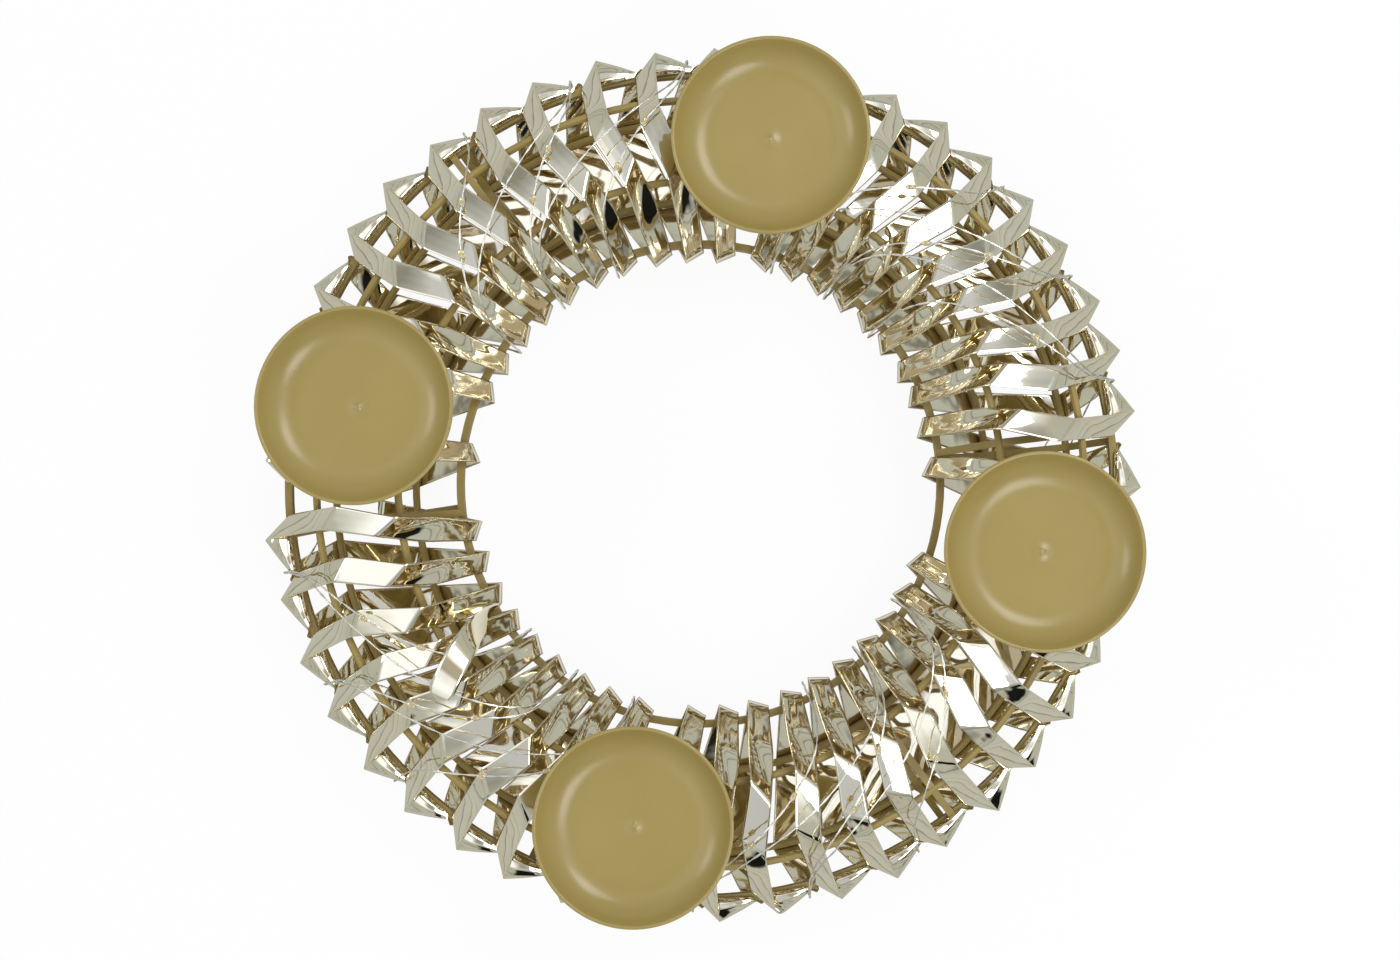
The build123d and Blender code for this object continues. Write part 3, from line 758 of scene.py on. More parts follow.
def smooth_route(points):
    """Points along one smooth curve with the given control points."""
    curve = bpy.data.curves.new("route", "CURVE")
    curve.dimensions = "3D"
    spline = curve.splines.new("NURBS")
    spline.points.add(len(points) - 1)
    for control, point in zip(spline.points, points):
        control.co = (*point, 1.0)
    spline.order_u = ROUTE_ORDER
    spline.use_endpoint_u = True
    spline.resolution_u = ROUTE_RESOLUTION
    holder = bpy.data.objects.new("route", curve)
    mesh = bpy.data.meshes.new_from_object(holder)
    route = [vertex.co.copy() for vertex in mesh.vertices]
    bpy.data.objects.remove(holder)
    bpy.data.meshes.remove(mesh)
    bpy.data.curves.remove(curve)
    return route


wire_line = smooth_route(wire_points)
wire_length = sum((two - one).length for one, two in zip(wire_line, wire_line[1:]))
print("wire length:", round(wire_length, 2), "m")

# %% [markdown]
# The wire itself is two strands that wind slowly about each other. A curve with a round bevel would be
# quick, but it makes a single tube. So a ring of six corners is set at each point of the line, once on
# either side of it, and the side turns as the line goes on.

# %% Two strands along the wire
STRAND_RADIUS = 0.22
STRAND_APART = 0.26
STRAND_TWIST = 14.0
STRAND_SIDES = 6


def strand_rings(route, phase):
    """Rings of points round one strand, which winds slowly about the route."""
    rings = []
    run = 0.0
    for index, point in enumerate(route):
        before = route[max(index - 1, 0)]
        after = route[min(index + 1, len(route) - 1)]
        along = (after - before).normalized()
        run += (point - before).length
        outward = Vector((point.x, point.y, 0)).normalized()
        core = outward * SEAT_RADIUS * MM + Vector((0, 0, RIM_HEIGHT * MM))
        side = along.cross(point - core).normalized()
        out = side.cross(along)
        turn = phase + run / (STRAND_TWIST * MM) * math.tau
        middle = point + (side * math.cos(turn) + out * math.sin(turn)) * STRAND_APART * MM
        ring = []
        for corner in range(STRAND_SIDES):
            angle = corner / STRAND_SIDES * math.tau
            ring.append(middle + (side * math.cos(angle) + out * math.sin(angle)) * STRAND_RADIUS * MM)
        rings.append(ring)
    return rings


strand_points = []
strand_faces = []
for phase in (0.0, math.pi):
    strand = join_rows(strand_rings(wire_line, phase), close_rows=True, close_ends=True)
    add_form(strand_points, strand_faces, strand)
wire = new_piece("light_wire_strands", strand_points, strand_faces, CAGE, "light_wire")
print("strand faces:", len(strand_faces))

# %% [markdown]
# ## The light drops
#
# Each light is a bead of clear resin cast round the wire, with a yellow chip inside. Stretched spheres would
# come close, but a bead runs out thin along the wire. So it is a turned form: one outline, spun about an
# axis. The dishes are turned forms too, and the same function spins them.

# %% Turned forms
# Radius and place along the axis
DROP_OUTLINE = (
    (0.38, -1.9),
    (0.75, -1.6),
    (1.08, -0.9),
    (1.18, 0.0),
    (1.05, 0.9),
    (0.7, 1.6),
    (0.38, 1.9),
)
CHIP_OUTLINE = ((0.0, -0.75), (0.5, -0.7), (0.55, 0.0), (0.5, 0.7), (0.0, 0.75))


def turned_rows(outline, middle, axis, sides):
    """Rows of a turned form about an axis, from pairs of radius and length in millimetres."""
    side = axis.orthogonal().normalized()
    other = axis.cross(side)
    rows = []
    for radius, length in outline:
        row = []
        for corner in range(sides):
            angle = corner / sides * math.tau
            spoke = side * math.cos(angle) + other * math.sin(angle)
            row.append(middle + axis * length * MM + spoke * radius * MM)
        rows.append(row)
    return rows


print("rows of a drop:", len(DROP_OUTLINE), "rows of a chip:", len(CHIP_OUTLINE))

# %% [markdown]
# Two lights sit on each loop of the first pass. They could be copies of one object, but then each light
# would be a piece of its own. All drops are gathered in one mesh and all chips in another, each at the
# point of the smooth wire that is nearest the middle of its run.

# %% Resin drops on the wire
DROP_SIDES = 14


def nearest_on_wire(place):
    """The index of the wire's point that is nearest to a place."""
    return min(range(1, len(wire_line) - 1), key=lambda index: (wire_line[index] - place).length)


def spread_form(name, outline, stands_for=None):
    """One piece that holds the same turned form at every light."""
    points = []
    faces = []
    for start, end in light_runs:
        index = nearest_on_wire((start + end) / 2)
        axis = (wire_line[index + 1] - wire_line[index - 1]).normalized()
        rows = turned_rows(outline, wire_line[index], axis, DROP_SIDES)
        add_form(points, faces, join_rows(rows, close_rows=True, close_ends=True))
    return new_piece(name, points, faces, CAGE, stands_for)


drops = spread_form("light_drops", DROP_OUTLINE, "led_beads")
chips = spread_form("light_chips", CHIP_OUTLINE)
print("light drops:", len(light_runs))

# %% [markdown]
# ## The candle plates
#
# A plate is a shallow moulded dish: a flat floor, a quarter-round wall and a thin lip with a softened
# edge. The solid could be bevelled, but soft highlights need an even curve. So wall and lip are drawn as
# arcs with close points.

# %% Wall and lip of a plate
PLATE_RADIUS = 38.0
PLATE_DEPTH = 10.0
PLATE_WALL = 1.5
ARC_STEPS = 14
LIP_STEPS = 6
LIP_FLATNESS = 0.6


def wall_arc(start_level, floor, reach):
    """A quarter-round from the floor up to the rim, as radius and height."""
    rise = PLATE_DEPTH - start_level
    run = reach - floor
    size = (run * run + rise * rise) / (2 * rise)
    sweep = math.asin(min(1.0, run / size))
    arc = []
    for step in range(ARC_STEPS + 1):
        angle = sweep * step / ARC_STEPS
        arc.append((floor + size * math.sin(angle), start_level + size * (1 - math.cos(angle))))
    return arc


def lip_arc():
    """The softened lip from its outside to its inside, as radius and height."""
    half = PLATE_WALL / 2
    arc = []
    for step in range(LIP_STEPS + 1):
        angle = math.pi * step / LIP_STEPS
        radius = PLATE_RADIUS - half + half * math.cos(angle)
        arc.append((radius, PLATE_DEPTH - half * LIP_FLATNESS * (1 - math.sin(angle))))
    return arc


print("points of a lip:", len(lip_arc()))

# %% [markdown]
# In the middle of the dish is a small raised mark where the plastic was let into the mould. Dish and mark
# could be cut and joined with booleans, which leave untidy edges where bodies meet. One outline from the
# middle of the underside, over the lip and back to the middle of the floor has no such edges.

# %% Outline of a plate
PLATE_FLOOR = 28.5
PLATE_FILLET = 5.0
UNDERSIDE_RADII = (0.01, 4.0, 15.0, 24.0)
DISH_FLOOR_RADII = (22.0, 15.0, 5.0, 1.5)
# Radius, and height above the floor
MARK = ((1.2, 0.18), (0.8, 0.40), (0.01, 0.45))


def plate_outline():
    """The dish's outline from the middle of its underside, over the lip, to the mark in its floor."""
    under = [(radius, 0.0) for radius in UNDERSIDE_RADII]
    outside = wall_arc(0.0, PLATE_FLOOR, PLATE_RADIUS)[:-1]
    inside = wall_arc(PLATE_WALL, PLATE_FLOOR - PLATE_FILLET, PLATE_RADIUS - PLATE_WALL)[:-1]
    floor = [(radius, PLATE_WALL) for radius in DISH_FLOOR_RADII]
    mark = [(radius, PLATE_WALL + height) for radius, height in MARK]
    return under + outside + lip_arc() + inside[::-1] + floor + mark


print("plate outline points:", len(plate_outline()))

# %% [markdown]
# Below each dish a square peg plugs into a socket on the cage. It could be a scaled cube, but as three rows
# of four points it is part of the same mesh, gets its chamfer at once and turns with the plate's azimuth. Its
# faces are shaded flat, so that it stays square next to the round dish.

# %% Plates with their pegs
PLATE_AZIMUTHS = (78.0, 168.0, 259.5, -12.0)
PLATE_BOTTOM = 63.3
PLATE_SIDES = 160
PEG_HALF = 3.0
PEG_LENGTH = 8.5
PEG_CHAMFER = 0.5
CHAMFER_HEIGHT = 0.7
PEG_SINK = 0.4
# Height below or above the plate's underside, and half the peg's width there
PEG_ROWS = (
    (-PEG_LENGTH, PEG_HALF - PEG_CHAMFER),
    (-PEG_LENGTH + CHAMFER_HEIGHT, PEG_HALF),
    (PEG_SINK, PEG_HALF),
)
SQUARE = ((1, 1), (-1, 1), (-1, -1), (1, -1))


def peg_block(middle, azimuth):
    """The square peg below a plate."""
    out = spot(1.0, azimuth, 0.0).normalized()
    side = Vector((-out.y, out.x, 0))
    rows = []
    for level, half in PEG_ROWS:
        lower = Vector((0, 0, level * MM))
        rows.append([middle + (out * x + side * y) * half * MM + lower for x, y in SQUARE])
    return join_rows(rows, close_rows=True, close_ends=True)


def plate_piece(number, azimuth):
    """One candle plate."""
    middle = spot(SEAT_RADIUS, azimuth, PLATE_BOTTOM)
    rows = turned_rows(plate_outline(), middle, Vector((0, 0, 1)), PLATE_SIDES)
    points, faces = join_rows(rows, close_rows=True, close_ends=True)
    peg = peg_block(middle, azimuth)
    add_form(points, faces, peg)
    node = f"candle_plate_{number}"
    piece = new_piece(f"candle_dish_{number}", points, faces, f"plate_{number}", node)
    for polygon in piece.data.polygons[-len(peg[1]):]:
        polygon.use_smooth = False
    return piece


plates = [plate_piece(number, azimuth) for number, azimuth in enumerate(PLATE_AZIMUTHS, 1)]
print("faces of a plate:", len(plates[0].data.polygons))

# %% [markdown]
# ## Finishes
#
# The wreath has mirror film, moulded plastic, metal and clear resin. Painted pictures could be wrapped
# round the pieces, but noise in object space needs no unwrapping and shows no seams. Constant values sit
# on the Principled shader's own sockets, and noise lets colour, roughness and relief drift a little.

# %% A new finish


def new_finish(name, base, roughness, metallic=0.0):
    """A material with a Principled shader and constant first values."""
    finish = bpy.data.materials.new(name)
    finish.use_nodes = True
    shader = finish.node_tree.nodes["Principled BSDF"]
    shader.inputs["Base Color"].default_value = (*base, 1.0)
    shader.inputs["Roughness"].default_value = roughness
    shader.inputs["Metallic"].default_value = metallic
    return finish, shader


def noise_node(finish, scale, detail):
    """A noise in object space."""
    nodes = finish.node_tree.nodes
    place = nodes.new("ShaderNodeTexCoord")
    noise = nodes.new("ShaderNodeTexNoise")
    noise.inputs["Scale"].default_value = scale
    noise.inputs["Detail"].default_value = detail
    finish.node_tree.links.new(place.outputs["Object"], noise.inputs["Vector"])
    return noise


print("materials so far:", len(bpy.data.materials))

# %% [markdown]
# A finish that is the same all over looks drawn. Colour, roughness and relief could each have a picture of
# their own, but one noise is enough: a ramp turns it into tones, a range turns it into roughness, and the
# Bump node tilts the surface by it without adding a single face.

# %% Drift and relief
DRIFT_STOPS = (0.3, 0.7)


def fill_ramp(ramp, stops):
    """Set the stops of a colour ramp from positions and colours."""
    elements = ramp.color_ramp.elements
    while len(elements) < len(stops):
        elements.new(0.5)
    for element, (position, colour) in zip(elements, stops):
        element.position = position
        element.color = (*colour, 1.0)


def drift_colour(finish, shader, noise, dark, light):
    """Let the colour drift between two tones."""
    ramp = finish.node_tree.nodes.new("ShaderNodeValToRGB")
    fill_ramp(ramp, list(zip(DRIFT_STOPS, (dark, light))))
    finish.node_tree.links.new(noise.outputs["Fac"], ramp.inputs["Fac"])
    finish.node_tree.links.new(ramp.outputs["Color"], shader.inputs["Base Color"])


def drift_roughness(finish, shader, noise, low, high):
    """Let the roughness drift between two values."""
    spread = finish.node_tree.nodes.new("ShaderNodeMapRange")
    spread.inputs["To Min"].default_value = low
    spread.inputs["To Max"].default_value = high
    finish.node_tree.links.new(noise.outputs["Fac"], spread.inputs["Value"])
    finish.node_tree.links.new(spread.outputs["Result"], shader.inputs["Roughness"])


def add_bump(finish, shader, noise, distance, strength):
    """Raise the surface by the noise."""
    bump = finish.node_tree.nodes.new("ShaderNodeBump")
    bump.inputs["Distance"].default_value = distance
    bump.inputs["Strength"].default_value = strength
    finish.node_tree.links.new(noise.outputs["Fac"], bump.inputs["Height"])
    finish.node_tree.links.new(bump.outputs["Normal"], shader.inputs["Normal"])


print("colours drift between noise values", DRIFT_STOPS)

# %% [markdown]
# The film is a plastic foil with a thin coat of metal, in a pale champagne tone. A perfect mirror would be
# quick to set up, but it looks like cut glass. Real film is never quite even, so a slow noise drives its
# tone and roughness, and long, shallow waves of it bend what the film shows.

# %% Mirror film
FILM_TONE = (0.88, 0.80, 0.61)
FILM_DARK = (0.86, 0.775, 0.57)
FILM_LIGHT = (0.90, 0.83, 0.66)
FILM_ROUGHNESS = 0.04
FILM_ROUGH_RANGE = (0.02, 0.07)
WAVE_SCALE = 60.0
WAVE_HEIGHT = 0.0005
WAVE_STRENGTH = 0.25
FEW_OCTAVES = 2.0


def film_finish():
    """Champagne mirror film: a metal with long, shallow waves."""
    finish, shader = new_finish("champagne_mirror_film", FILM_TONE, FILM_ROUGHNESS, metallic=1.0)
    waves = noise_node(finish, WAVE_SCALE, FEW_OCTAVES)
    drift_colour(finish, shader, waves, FILM_DARK, FILM_LIGHT)
    drift_roughness(finish, shader, waves, *FILM_ROUGH_RANGE)
    add_bump(finish, shader, waves, WAVE_HEIGHT, WAVE_STRENGTH)
    return finish


mirror_film = film_finish()
print("film finish:", mirror_film.name)

# %% [markdown]
# Plates and cage are moulded in a gold-brown plastic, satin on the plates and duller on the cage. The box,
# its switch, the board's lacquer and the chips in the lights are much like it. Each could have a node
# graph of its own. One function with two tones and two roughnesses serves them all, and a fine grain in
# the bump breaks the highlights as a moulded surface does.

# %% Plastics
# Darker tone, lighter tone, lowest and highest roughness
PLASTICS = {
    "plate_plastic": ((0.335, 0.257, 0.079), (0.355, 0.273, 0.087), 0.22, 0.28),
    "cage_plastic": ((0.285, 0.205, 0.055), (0.340, 0.250, 0.072), 0.40, 0.52),
    "box_plastic": ((0.60, 0.58, 0.53), (0.68, 0.66, 0.61), 0.42, 0.55),
    "switch_plastic": ((0.016, 0.016, 0.017), (0.03, 0.03, 0.032), 0.4, 0.5),
    "board_lacquer": ((0.010, 0.075, 0.028), (0.018, 0.11, 0.042), 0.25, 0.4),
    "chip_yellow": ((0.78, 0.52, 0.05), (0.86, 0.60, 0.08), 0.4, 0.5),
}
CLOUD_SCALE = 35.0
CLOUD_OCTAVES = 4.0
GRAIN_SCALE = 2400.0
GRAIN_HEIGHT = 0.00004
GRAIN_STRENGTH = 0.5


def plastic_finish(name, dark, light, rough_low, rough_high):
    """Satin moulded plastic with a fine grain."""
    finish, shader = new_finish(name, light, rough_low)
    drift = noise_node(finish, CLOUD_SCALE, CLOUD_OCTAVES)
    grain = noise_node(finish, GRAIN_SCALE, FEW_OCTAVES)
    drift_colour(finish, shader, drift, dark, light)
    drift_roughness(finish, shader, drift, rough_low, rough_high)
    add_bump(finish, shader, grain, GRAIN_HEIGHT, GRAIN_STRENGTH)
    return finish


plastics = {name: plastic_finish(name, *values) for name, values in PLASTICS.items()}
print("plastics:", len(plastics))

# %% [markdown]
# The wire is drawn metal under clear lacquer, and screws, cells and contacts are plated steel. A flat grey
# would look painted, so both are full metals with a roughness that drifts. The drops are clear, yellowish
# resin. Plain transparency would leave them flat, so they transmit and refract light instead.

# %% Metals and resin
# Tone, lowest and highest roughness
METALS = {
    "wire_metal": ((0.86, 0.83, 0.74), 0.22, 0.36),
    "plated_steel": ((0.72, 0.72, 0.72), 0.22, 0.34),
}
METAL_GRAIN = 900.0
RESIN_TONE = (0.98, 0.93, 0.74)
RESIN_ROUGHNESS = 0.06
RESIN_ROUGH_RANGE = (0.04, 0.14)
RESIN_CLARITY = 0.75
RESIN_REFRACTION = 1.5
RESIN_GRAIN = 800.0


def metal_finish(name, base, rough_low, rough_high):
    """Plated or drawn metal."""
    finish, shader = new_finish(name, base, rough_low, metallic=1.0)
    grain = noise_node(finish, METAL_GRAIN, FEW_OCTAVES)
    drift_roughness(finish, shader, grain, rough_low, rough_high)
    return finish


def resin_finish():
    """Clear yellowish resin."""
    finish, shader = new_finish("clear_resin", RESIN_TONE, RESIN_ROUGHNESS)
    shader.inputs["Transmission Weight"].default_value = RESIN_CLARITY
    shader.inputs["IOR"].default_value = RESIN_REFRACTION
    cloud = noise_node(finish, RESIN_GRAIN, FEW_OCTAVES)
    drift_roughness(finish, shader, cloud, *RESIN_ROUGH_RANGE)
    return finish


metals = {name: metal_finish(name, *values) for name, values in METALS.items()}
clear_resin = resin_finish()
print("metals:", len(metals), "resin:", clear_resin.name)

# %% [markdown]
# Now every piece gets its finish. They could be picked by hand in the material tab. The record already
# names a slot for each solid, so one table from slots to finishes dresses the whole frame, and only the
# new pieces are dressed one by one.

# %% Dress the pieces
SLOT_FINISH = {
    "mirror_film": mirror_film,
    "plate_plastic": plastics["plate_plastic"],
    "cage_plastic": plastics["cage_plastic"],
    "wire_metal": metals["wire_metal"],
    "light_resin": clear_resin,
    "box_plastic": plastics["box_plastic"],
    "steel": metals["plated_steel"],
    "board": plastics["board_lacquer"],
    "switch_plastic": plastics["switch_plastic"],
}


def dress(piece, finish):
    """Give every material slot of a piece the same finish."""
    piece.data.materials.clear()
    piece.data.materials.append(finish)


for film in films:
    dress(film, mirror_film)
for plate in plates:
    dress(plate, plastics["plate_plastic"])
dress(wire, metals["wire_metal"])
dress(drops, clear_resin)
dress(chips, plastics["chip_yellow"])
node_slots = {part["node"]: part["material_slot"] for part in frame["record"]["subparts"]}
for name, part in frame["nodes"].items():
    for holder in part.material_slots:
        holder.material = SLOT_FINISH[node_slots[name]]
print("finishes:", len(SLOT_FINISH) + 1)

# %% [markdown]
# ## The floor
#
# The wreath lies on white. More light would make a grey floor white, but it would also wash out the
# plates. So the floor glows white where the camera sees it, and only a small share of it takes shadows.
# Mirrors see something else in it: grey rings with thin dark lines, which draw streaks on the film,
# and a dark band of painted shadow under the wreath.

# %% What mirrors see in the floor: rings and a painted shadow
# Distance from the wreath's axis in metres, and colour
FLOOR_RINGS_AND_SHADOW = (
    (0.0, (0.90, 0.95, 1.0)),
    (0.075, (0.70, 0.72, 0.72)),
    # From 0.10 to 0.165 m a dark gold-brown band is painted shadow of the wreath, seen only by mirrors
    (0.10, (0.20, 0.16, 0.10)),
    (0.165, (0.18, 0.14, 0.08)),
    (0.20, (0.52, 0.55, 0.55)),
    (0.25, (0.50, 0.53, 0.53)),
    (0.258, (0.18, 0.18, 0.16)),
    (0.266, (0.54, 0.57, 0.57)),
    (0.36, (0.50, 0.53, 0.53)),
    (0.375, (0.20, 0.20, 0.18)),
    (0.39, (0.56, 0.59, 0.59)),
    (0.58, (0.52, 0.55, 0.55)),
    (0.61, (0.24, 0.24, 0.22)),
    (0.64, (0.56, 0.59, 0.59)),
    (1.0, (0.52, 0.55, 0.55)),
)
WHITE = (1.0, 1.0, 1.0, 1.0)


def mirrored_rings_and_shadow(nodes, links):
    """White for the camera; for mirrors, rings of grey with thin dark lines and a painted shadow under the
    wreath.
    """
    place = nodes.new("ShaderNodeTexCoord")
    reach = nodes.new("ShaderNodeVectorMath")
    reach.operation = "LENGTH"
    links.new(place.outputs["Object"], reach.inputs[0])
    ramp = nodes.new("ShaderNodeValToRGB")
    fill_ramp(ramp, FLOOR_RINGS_AND_SHADOW)
    links.new(reach.outputs["Value"], ramp.inputs["Fac"])
    path = nodes.new("ShaderNodeLightPath")
    mix = nodes.new("ShaderNodeMixRGB")
    mix.inputs["Color1"].default_value = WHITE
    links.new(path.outputs["Is Glossy Ray"], mix.inputs["Fac"])
    links.new(ramp.outputs["Color"], mix.inputs["Color2"])
    return mix.outputs["Color"]


print("floor rings:", len(FLOOR_RINGS_AND_SHADOW))

# %% [markdown]
# The glow must not light the wreath from below. Such light could be blocked by hidden cards. The Light Path
# node does it more simply: it tells which ray asks, and only rays that see the floor directly, or by a
# mirror or through resin, get the glow. For all others it is a plain matt floor.

# %% Finish of the floor
FLOOR_GLOW_SHARE = 0.93
FLOOR_TONE = (0.86, 0.86, 0.86)
FLOOR_ROUGHNESS = 0.9


def seen_directly(nodes, links):
    """One for rays from the camera, from a mirror or through clear resin, and zero for the rest."""
    path = nodes.new("ShaderNodeLightPath")
    first = nodes.new("ShaderNodeMath")
    first.operation = "MAXIMUM"
    links.new(path.outputs["Is Camera Ray"], first.inputs[0])
    links.new(path.outputs["Is Glossy Ray"], first.inputs[1])
    second = nodes.new("ShaderNodeMath")
    second.operation = "MAXIMUM"
    links.new(first.outputs["Value"], second.inputs[0])
    links.new(path.outputs["Is Transmission Ray"], second.inputs[1])
    return second.outputs["Value"]


def floor_finish():
    """A pale floor that mostly glows white where it is seen, keeps a faint shadow, and shows mirrors a
    painted shadow under the wreath.
    """
    finish, shader = new_finish("pale_floor", FLOOR_TONE, FLOOR_ROUGHNESS)
    nodes = finish.node_tree.nodes
    links = finish.node_tree.links
    glow = nodes.new("ShaderNodeEmission")
    links.new(mirrored_rings_and_shadow(nodes, links), glow.inputs["Color"])
    glow.inputs["Strength"].default_value = 1.0
    share = nodes.new("ShaderNodeMath")
    share.operation = "MULTIPLY"
    share.inputs[1].default_value = FLOOR_GLOW_SHARE
    links.new(seen_directly(nodes, links), share.inputs[0])
    mix = nodes.new("ShaderNodeMixShader")
    links.new(share.outputs["Value"], mix.inputs["Fac"])
    links.new(shader.outputs["BSDF"], mix.inputs[1])
    links.new(glow.outputs["Emission"], mix.inputs[2])
    links.new(mix.outputs["Shader"], nodes["Material Output"].inputs["Surface"])
    return finish


pale_floor = floor_finish()
print("floor finish:", pale_floor.name)

# %% [markdown]
# The floor is a large square. A curved backdrop would hide its far edge, but a white world does that here.
# It lies a hair below the feet, so that the two surfaces don't fight for the same place.

# %% Floor
FLOOR_HALF = 3.0
FLOOR_DROP = 0.0004
floor_mesh = bpy.data.meshes.new("floor")
floor_sides = ((-1, -1), (1, -1), (1, 1), (-1, 1))
floor_corners = [(x * FLOOR_HALF, y * FLOOR_HALF, -FLOOR_DROP) for x, y in floor_sides]
floor_mesh.from_pydata(floor_corners, [], [(0, 1, 2, 3)])
floor = bpy.data.objects.new("floor", floor_mesh)
bpy.context.scene.collection.objects.link(floor)
dress(floor, pale_floor)
print("floor drop:", FLOOR_DROP)

# %% [markdown]
# ## The world
#
# Mirror film shows its surroundings, so they matter more than the lamps. A panorama picture could serve.
# A ramp over the height of the ray needs no file, and each stop can be tuned: grey walls with thin dark
# lines, a bright ceiling and a brownish spot straight above.

# %% Walls and ceiling for the mirrors
SKY_LOW = -0.2
# Height of the ray, from -1 to 1, and colour
SKY_STOPS = (
    (-0.2, (0.36, 0.385, 0.38)),
    (0.02, (0.34, 0.365, 0.36)),
    (0.035, (0.10, 0.10, 0.09)),
    (0.05, (0.36, 0.385, 0.38)),
    (0.11, (0.33, 0.35, 0.345)),
    (0.12, (0.14, 0.14, 0.12)),
    (0.13, (0.36, 0.385, 0.38)),
    (0.21, (0.33, 0.35, 0.345)),
    (0.225, (0.12, 0.12, 0.11)),
    (0.24, (0.34, 0.365, 0.36)),
    (0.54, (0.36, 0.38, 0.38)),
    (0.68, (0.56, 0.60, 0.65)),
    (0.78, (0.80, 0.86, 1.0)),
    (0.95, (0.80, 0.86, 1.0)),
    (0.98, (0.34, 0.32, 0.28)),
    (1.0, (0.34, 0.32, 0.28)),
)


def sky_ramp(nodes, links, heights):
    """Grey walls and a bright ceiling, by the height of the ray."""
    scale = nodes.new("ShaderNodeMapRange")
    scale.inputs["From Min"].default_value = SKY_LOW
    links.new(heights, scale.inputs["Value"])
    ramp = nodes.new("ShaderNodeValToRGB")
    fill_ramp(ramp, [((height - SKY_LOW) / (1.0 - SKY_LOW), colour) for height, colour in SKY_STOPS])
    links.new(scale.outputs["Result"], ramp.inputs["Fac"])
    return ramp.outputs["Color"]


print("sky stops:", len(SKY_STOPS))

# %% [markdown]
# Some facets of the real film mirror something black, and those that face the front or the back are greyer
# than the rest. Dark cards could stand about the wreath, but they would also take light from the plates.
# Round patches of a weaker room do the same for mirrors alone.

# %% Patches of a darker room
ROOM_STRENGTH = 1.45
# Azimuth, elevation, reach and soft edge in degrees, and the share of strength that is left
ROOM_PATCHES = (
    (265.0, 14.0, 14.0, 4.0, 0.02),
    (-42.0, 20.0, 17.0, 4.0, 0.02),
    (-68.0, 54.0, 30.0, 8.0, 0.50),
    (92.0, 48.0, 30.0, 8.0, 0.55),
)


def direction(azimuth, elevation):
    """The unit vector towards an azimuth and an elevation in degrees."""
    turn = math.radians(azimuth)
    rise = math.radians(elevation)
    return Vector((math.cos(rise) * math.cos(turn), math.cos(rise) * math.sin(turn), math.sin(rise)))


def room_patch(nodes, links, rays, azimuth, elevation, reach, soft_edge, depth):
    """One outside a round patch of the room, and the patch's own depth in it."""
    meet = nodes.new("ShaderNodeVectorMath")
    meet.operation = "DOT_PRODUCT"
    meet.inputs[1].default_value = direction(azimuth, elevation)
    links.new(rays, meet.inputs[0])
    edge = nodes.new("ShaderNodeMapRange")
    edge.inputs["From Min"].default_value = math.cos(math.radians(reach))
    edge.inputs["From Max"].default_value = math.cos(math.radians(reach - soft_edge))
    edge.inputs["To Min"].default_value = 1.0
    edge.inputs["To Max"].default_value = depth
    links.new(meet.outputs["Value"], edge.inputs["Value"])
    return edge.outputs["Result"]


def room_strength(nodes, links, rays):
    """The strength of the room, taken down in every patch."""
    strength = None
    for patch in ROOM_PATCHES:
        product = nodes.new("ShaderNodeMath")
        product.operation = "MULTIPLY"
        product.inputs[1].default_value = ROOM_STRENGTH
        links.new(room_patch(nodes, links, rays, *patch), product.inputs[0])
        if strength:
            links.new(strength, product.inputs[1])
        strength = product.outputs["Value"]
    return strength


print("room patches:", len(ROOM_PATCHES))

# %% [markdown]
# Lit by such a room, matt plastic would take on its tones. One world for all rays would be simpler, but the
# plates should render in the colour they were given. So matt surfaces get a plain, even light, mirrors and
# resin get the room, and the camera gets white.

# %% The world
PLAIN_LIGHT = 0.6


def plain_background(nodes, strength):
    """An even white background."""
    background = nodes.new("ShaderNodeBackground")
    background.inputs["Color"].default_value = WHITE
    background.inputs["Strength"].default_value = strength
    return background.outputs["Background"]


def choose(nodes, links, chooser, otherwise, chosen):
    """One of two shaders, by a value of zero or one."""
    mix = nodes.new("ShaderNodeMixShader")
    links.new(chooser, mix.inputs["Fac"])
    links.new(otherwise, mix.inputs[1])
    links.new(chosen, mix.inputs[2])
    return mix.outputs["Shader"]


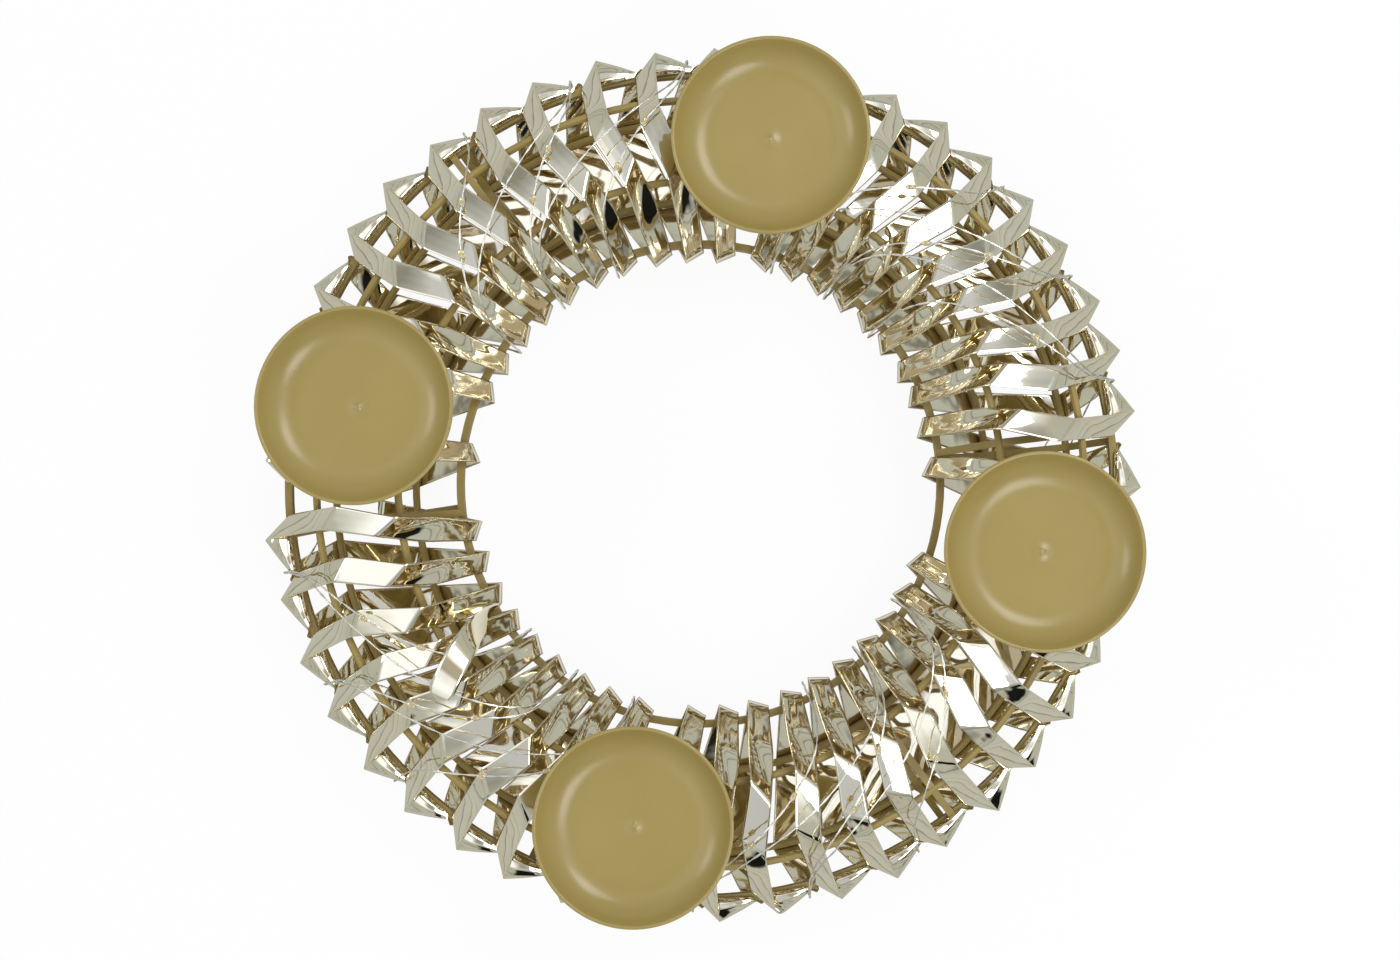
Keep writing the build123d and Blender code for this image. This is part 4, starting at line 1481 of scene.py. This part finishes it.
def build_world():
    """A plain light for matt surfaces, a room for mirrors and white for the camera."""
    world = bpy.data.worlds.new("studio")
    bpy.context.scene.world = world
    world.use_nodes = True
    nodes = world.node_tree.nodes
    links = world.node_tree.links
    place = nodes.new("ShaderNodeTexCoord")
    split = nodes.new("ShaderNodeSeparateXYZ")
    links.new(place.outputs["Generated"], split.inputs["Vector"])
    room = nodes["Background"]
    links.new(sky_ramp(nodes, links, split.outputs["Z"]), room.inputs["Color"])
    links.new(room_strength(nodes, links, place.outputs["Generated"]), room.inputs["Strength"])
    plain = plain_background(nodes, PLAIN_LIGHT)
    mirrored = choose(nodes, links, seen_directly(nodes, links), plain, room.outputs["Background"])
    path = nodes.new("ShaderNodeLightPath")
    seen = choose(nodes, links, path.outputs["Is Camera Ray"], mirrored, plain_background(nodes, 1.0))
    links.new(seen, nodes["World Output"].inputs["Surface"])
    return world


world = build_world()
print("world nodes:", len(world.node_tree.nodes))

# %% [markdown]
# ## The lamps
#
# Each plate on the photograph has soft crescents of light on both sides of its wall. They could be painted
# into the finish, but then they would not move with the view. A hollow dish mirrors a lamp on its far
# side, so two soft lamps on the right and a weaker one on the left make them.

# %% Three soft lamps
LAMP_DISTANCE = 2.0
LAMP_TARGET = (0.0, 0.0, 0.05)
# Name, azimuth and elevation in degrees, size in metres and power in watts
LAMPS = (
    ("right_back_lamp", 45.0, 58.0, 0.75, 10.0),
    ("right_front_lamp", -47.0, 58.0, 0.75, 10.0),
    ("left_lamp", 172.0, 36.0, 0.67, 5.4),
)


def soft_lamp(name, azimuth, elevation, size, power):
    """A square lamp that faces the wreath's middle."""
    data = bpy.data.lights.new(name, "AREA")
    data.size = size
    data.energy = power
    lamp = bpy.data.objects.new(name, data)
    lamp.location = direction(azimuth, elevation) * LAMP_DISTANCE
    lamp.rotation_euler = aim(lamp.location, Vector(LAMP_TARGET))
    bpy.context.scene.collection.objects.link(lamp)
    return lamp


lamps = [soft_lamp(*values) for values in LAMPS]
bpy.context.scene.view_settings.view_transform = "Standard"
print("lamps:", [lamp.name for lamp in lamps])
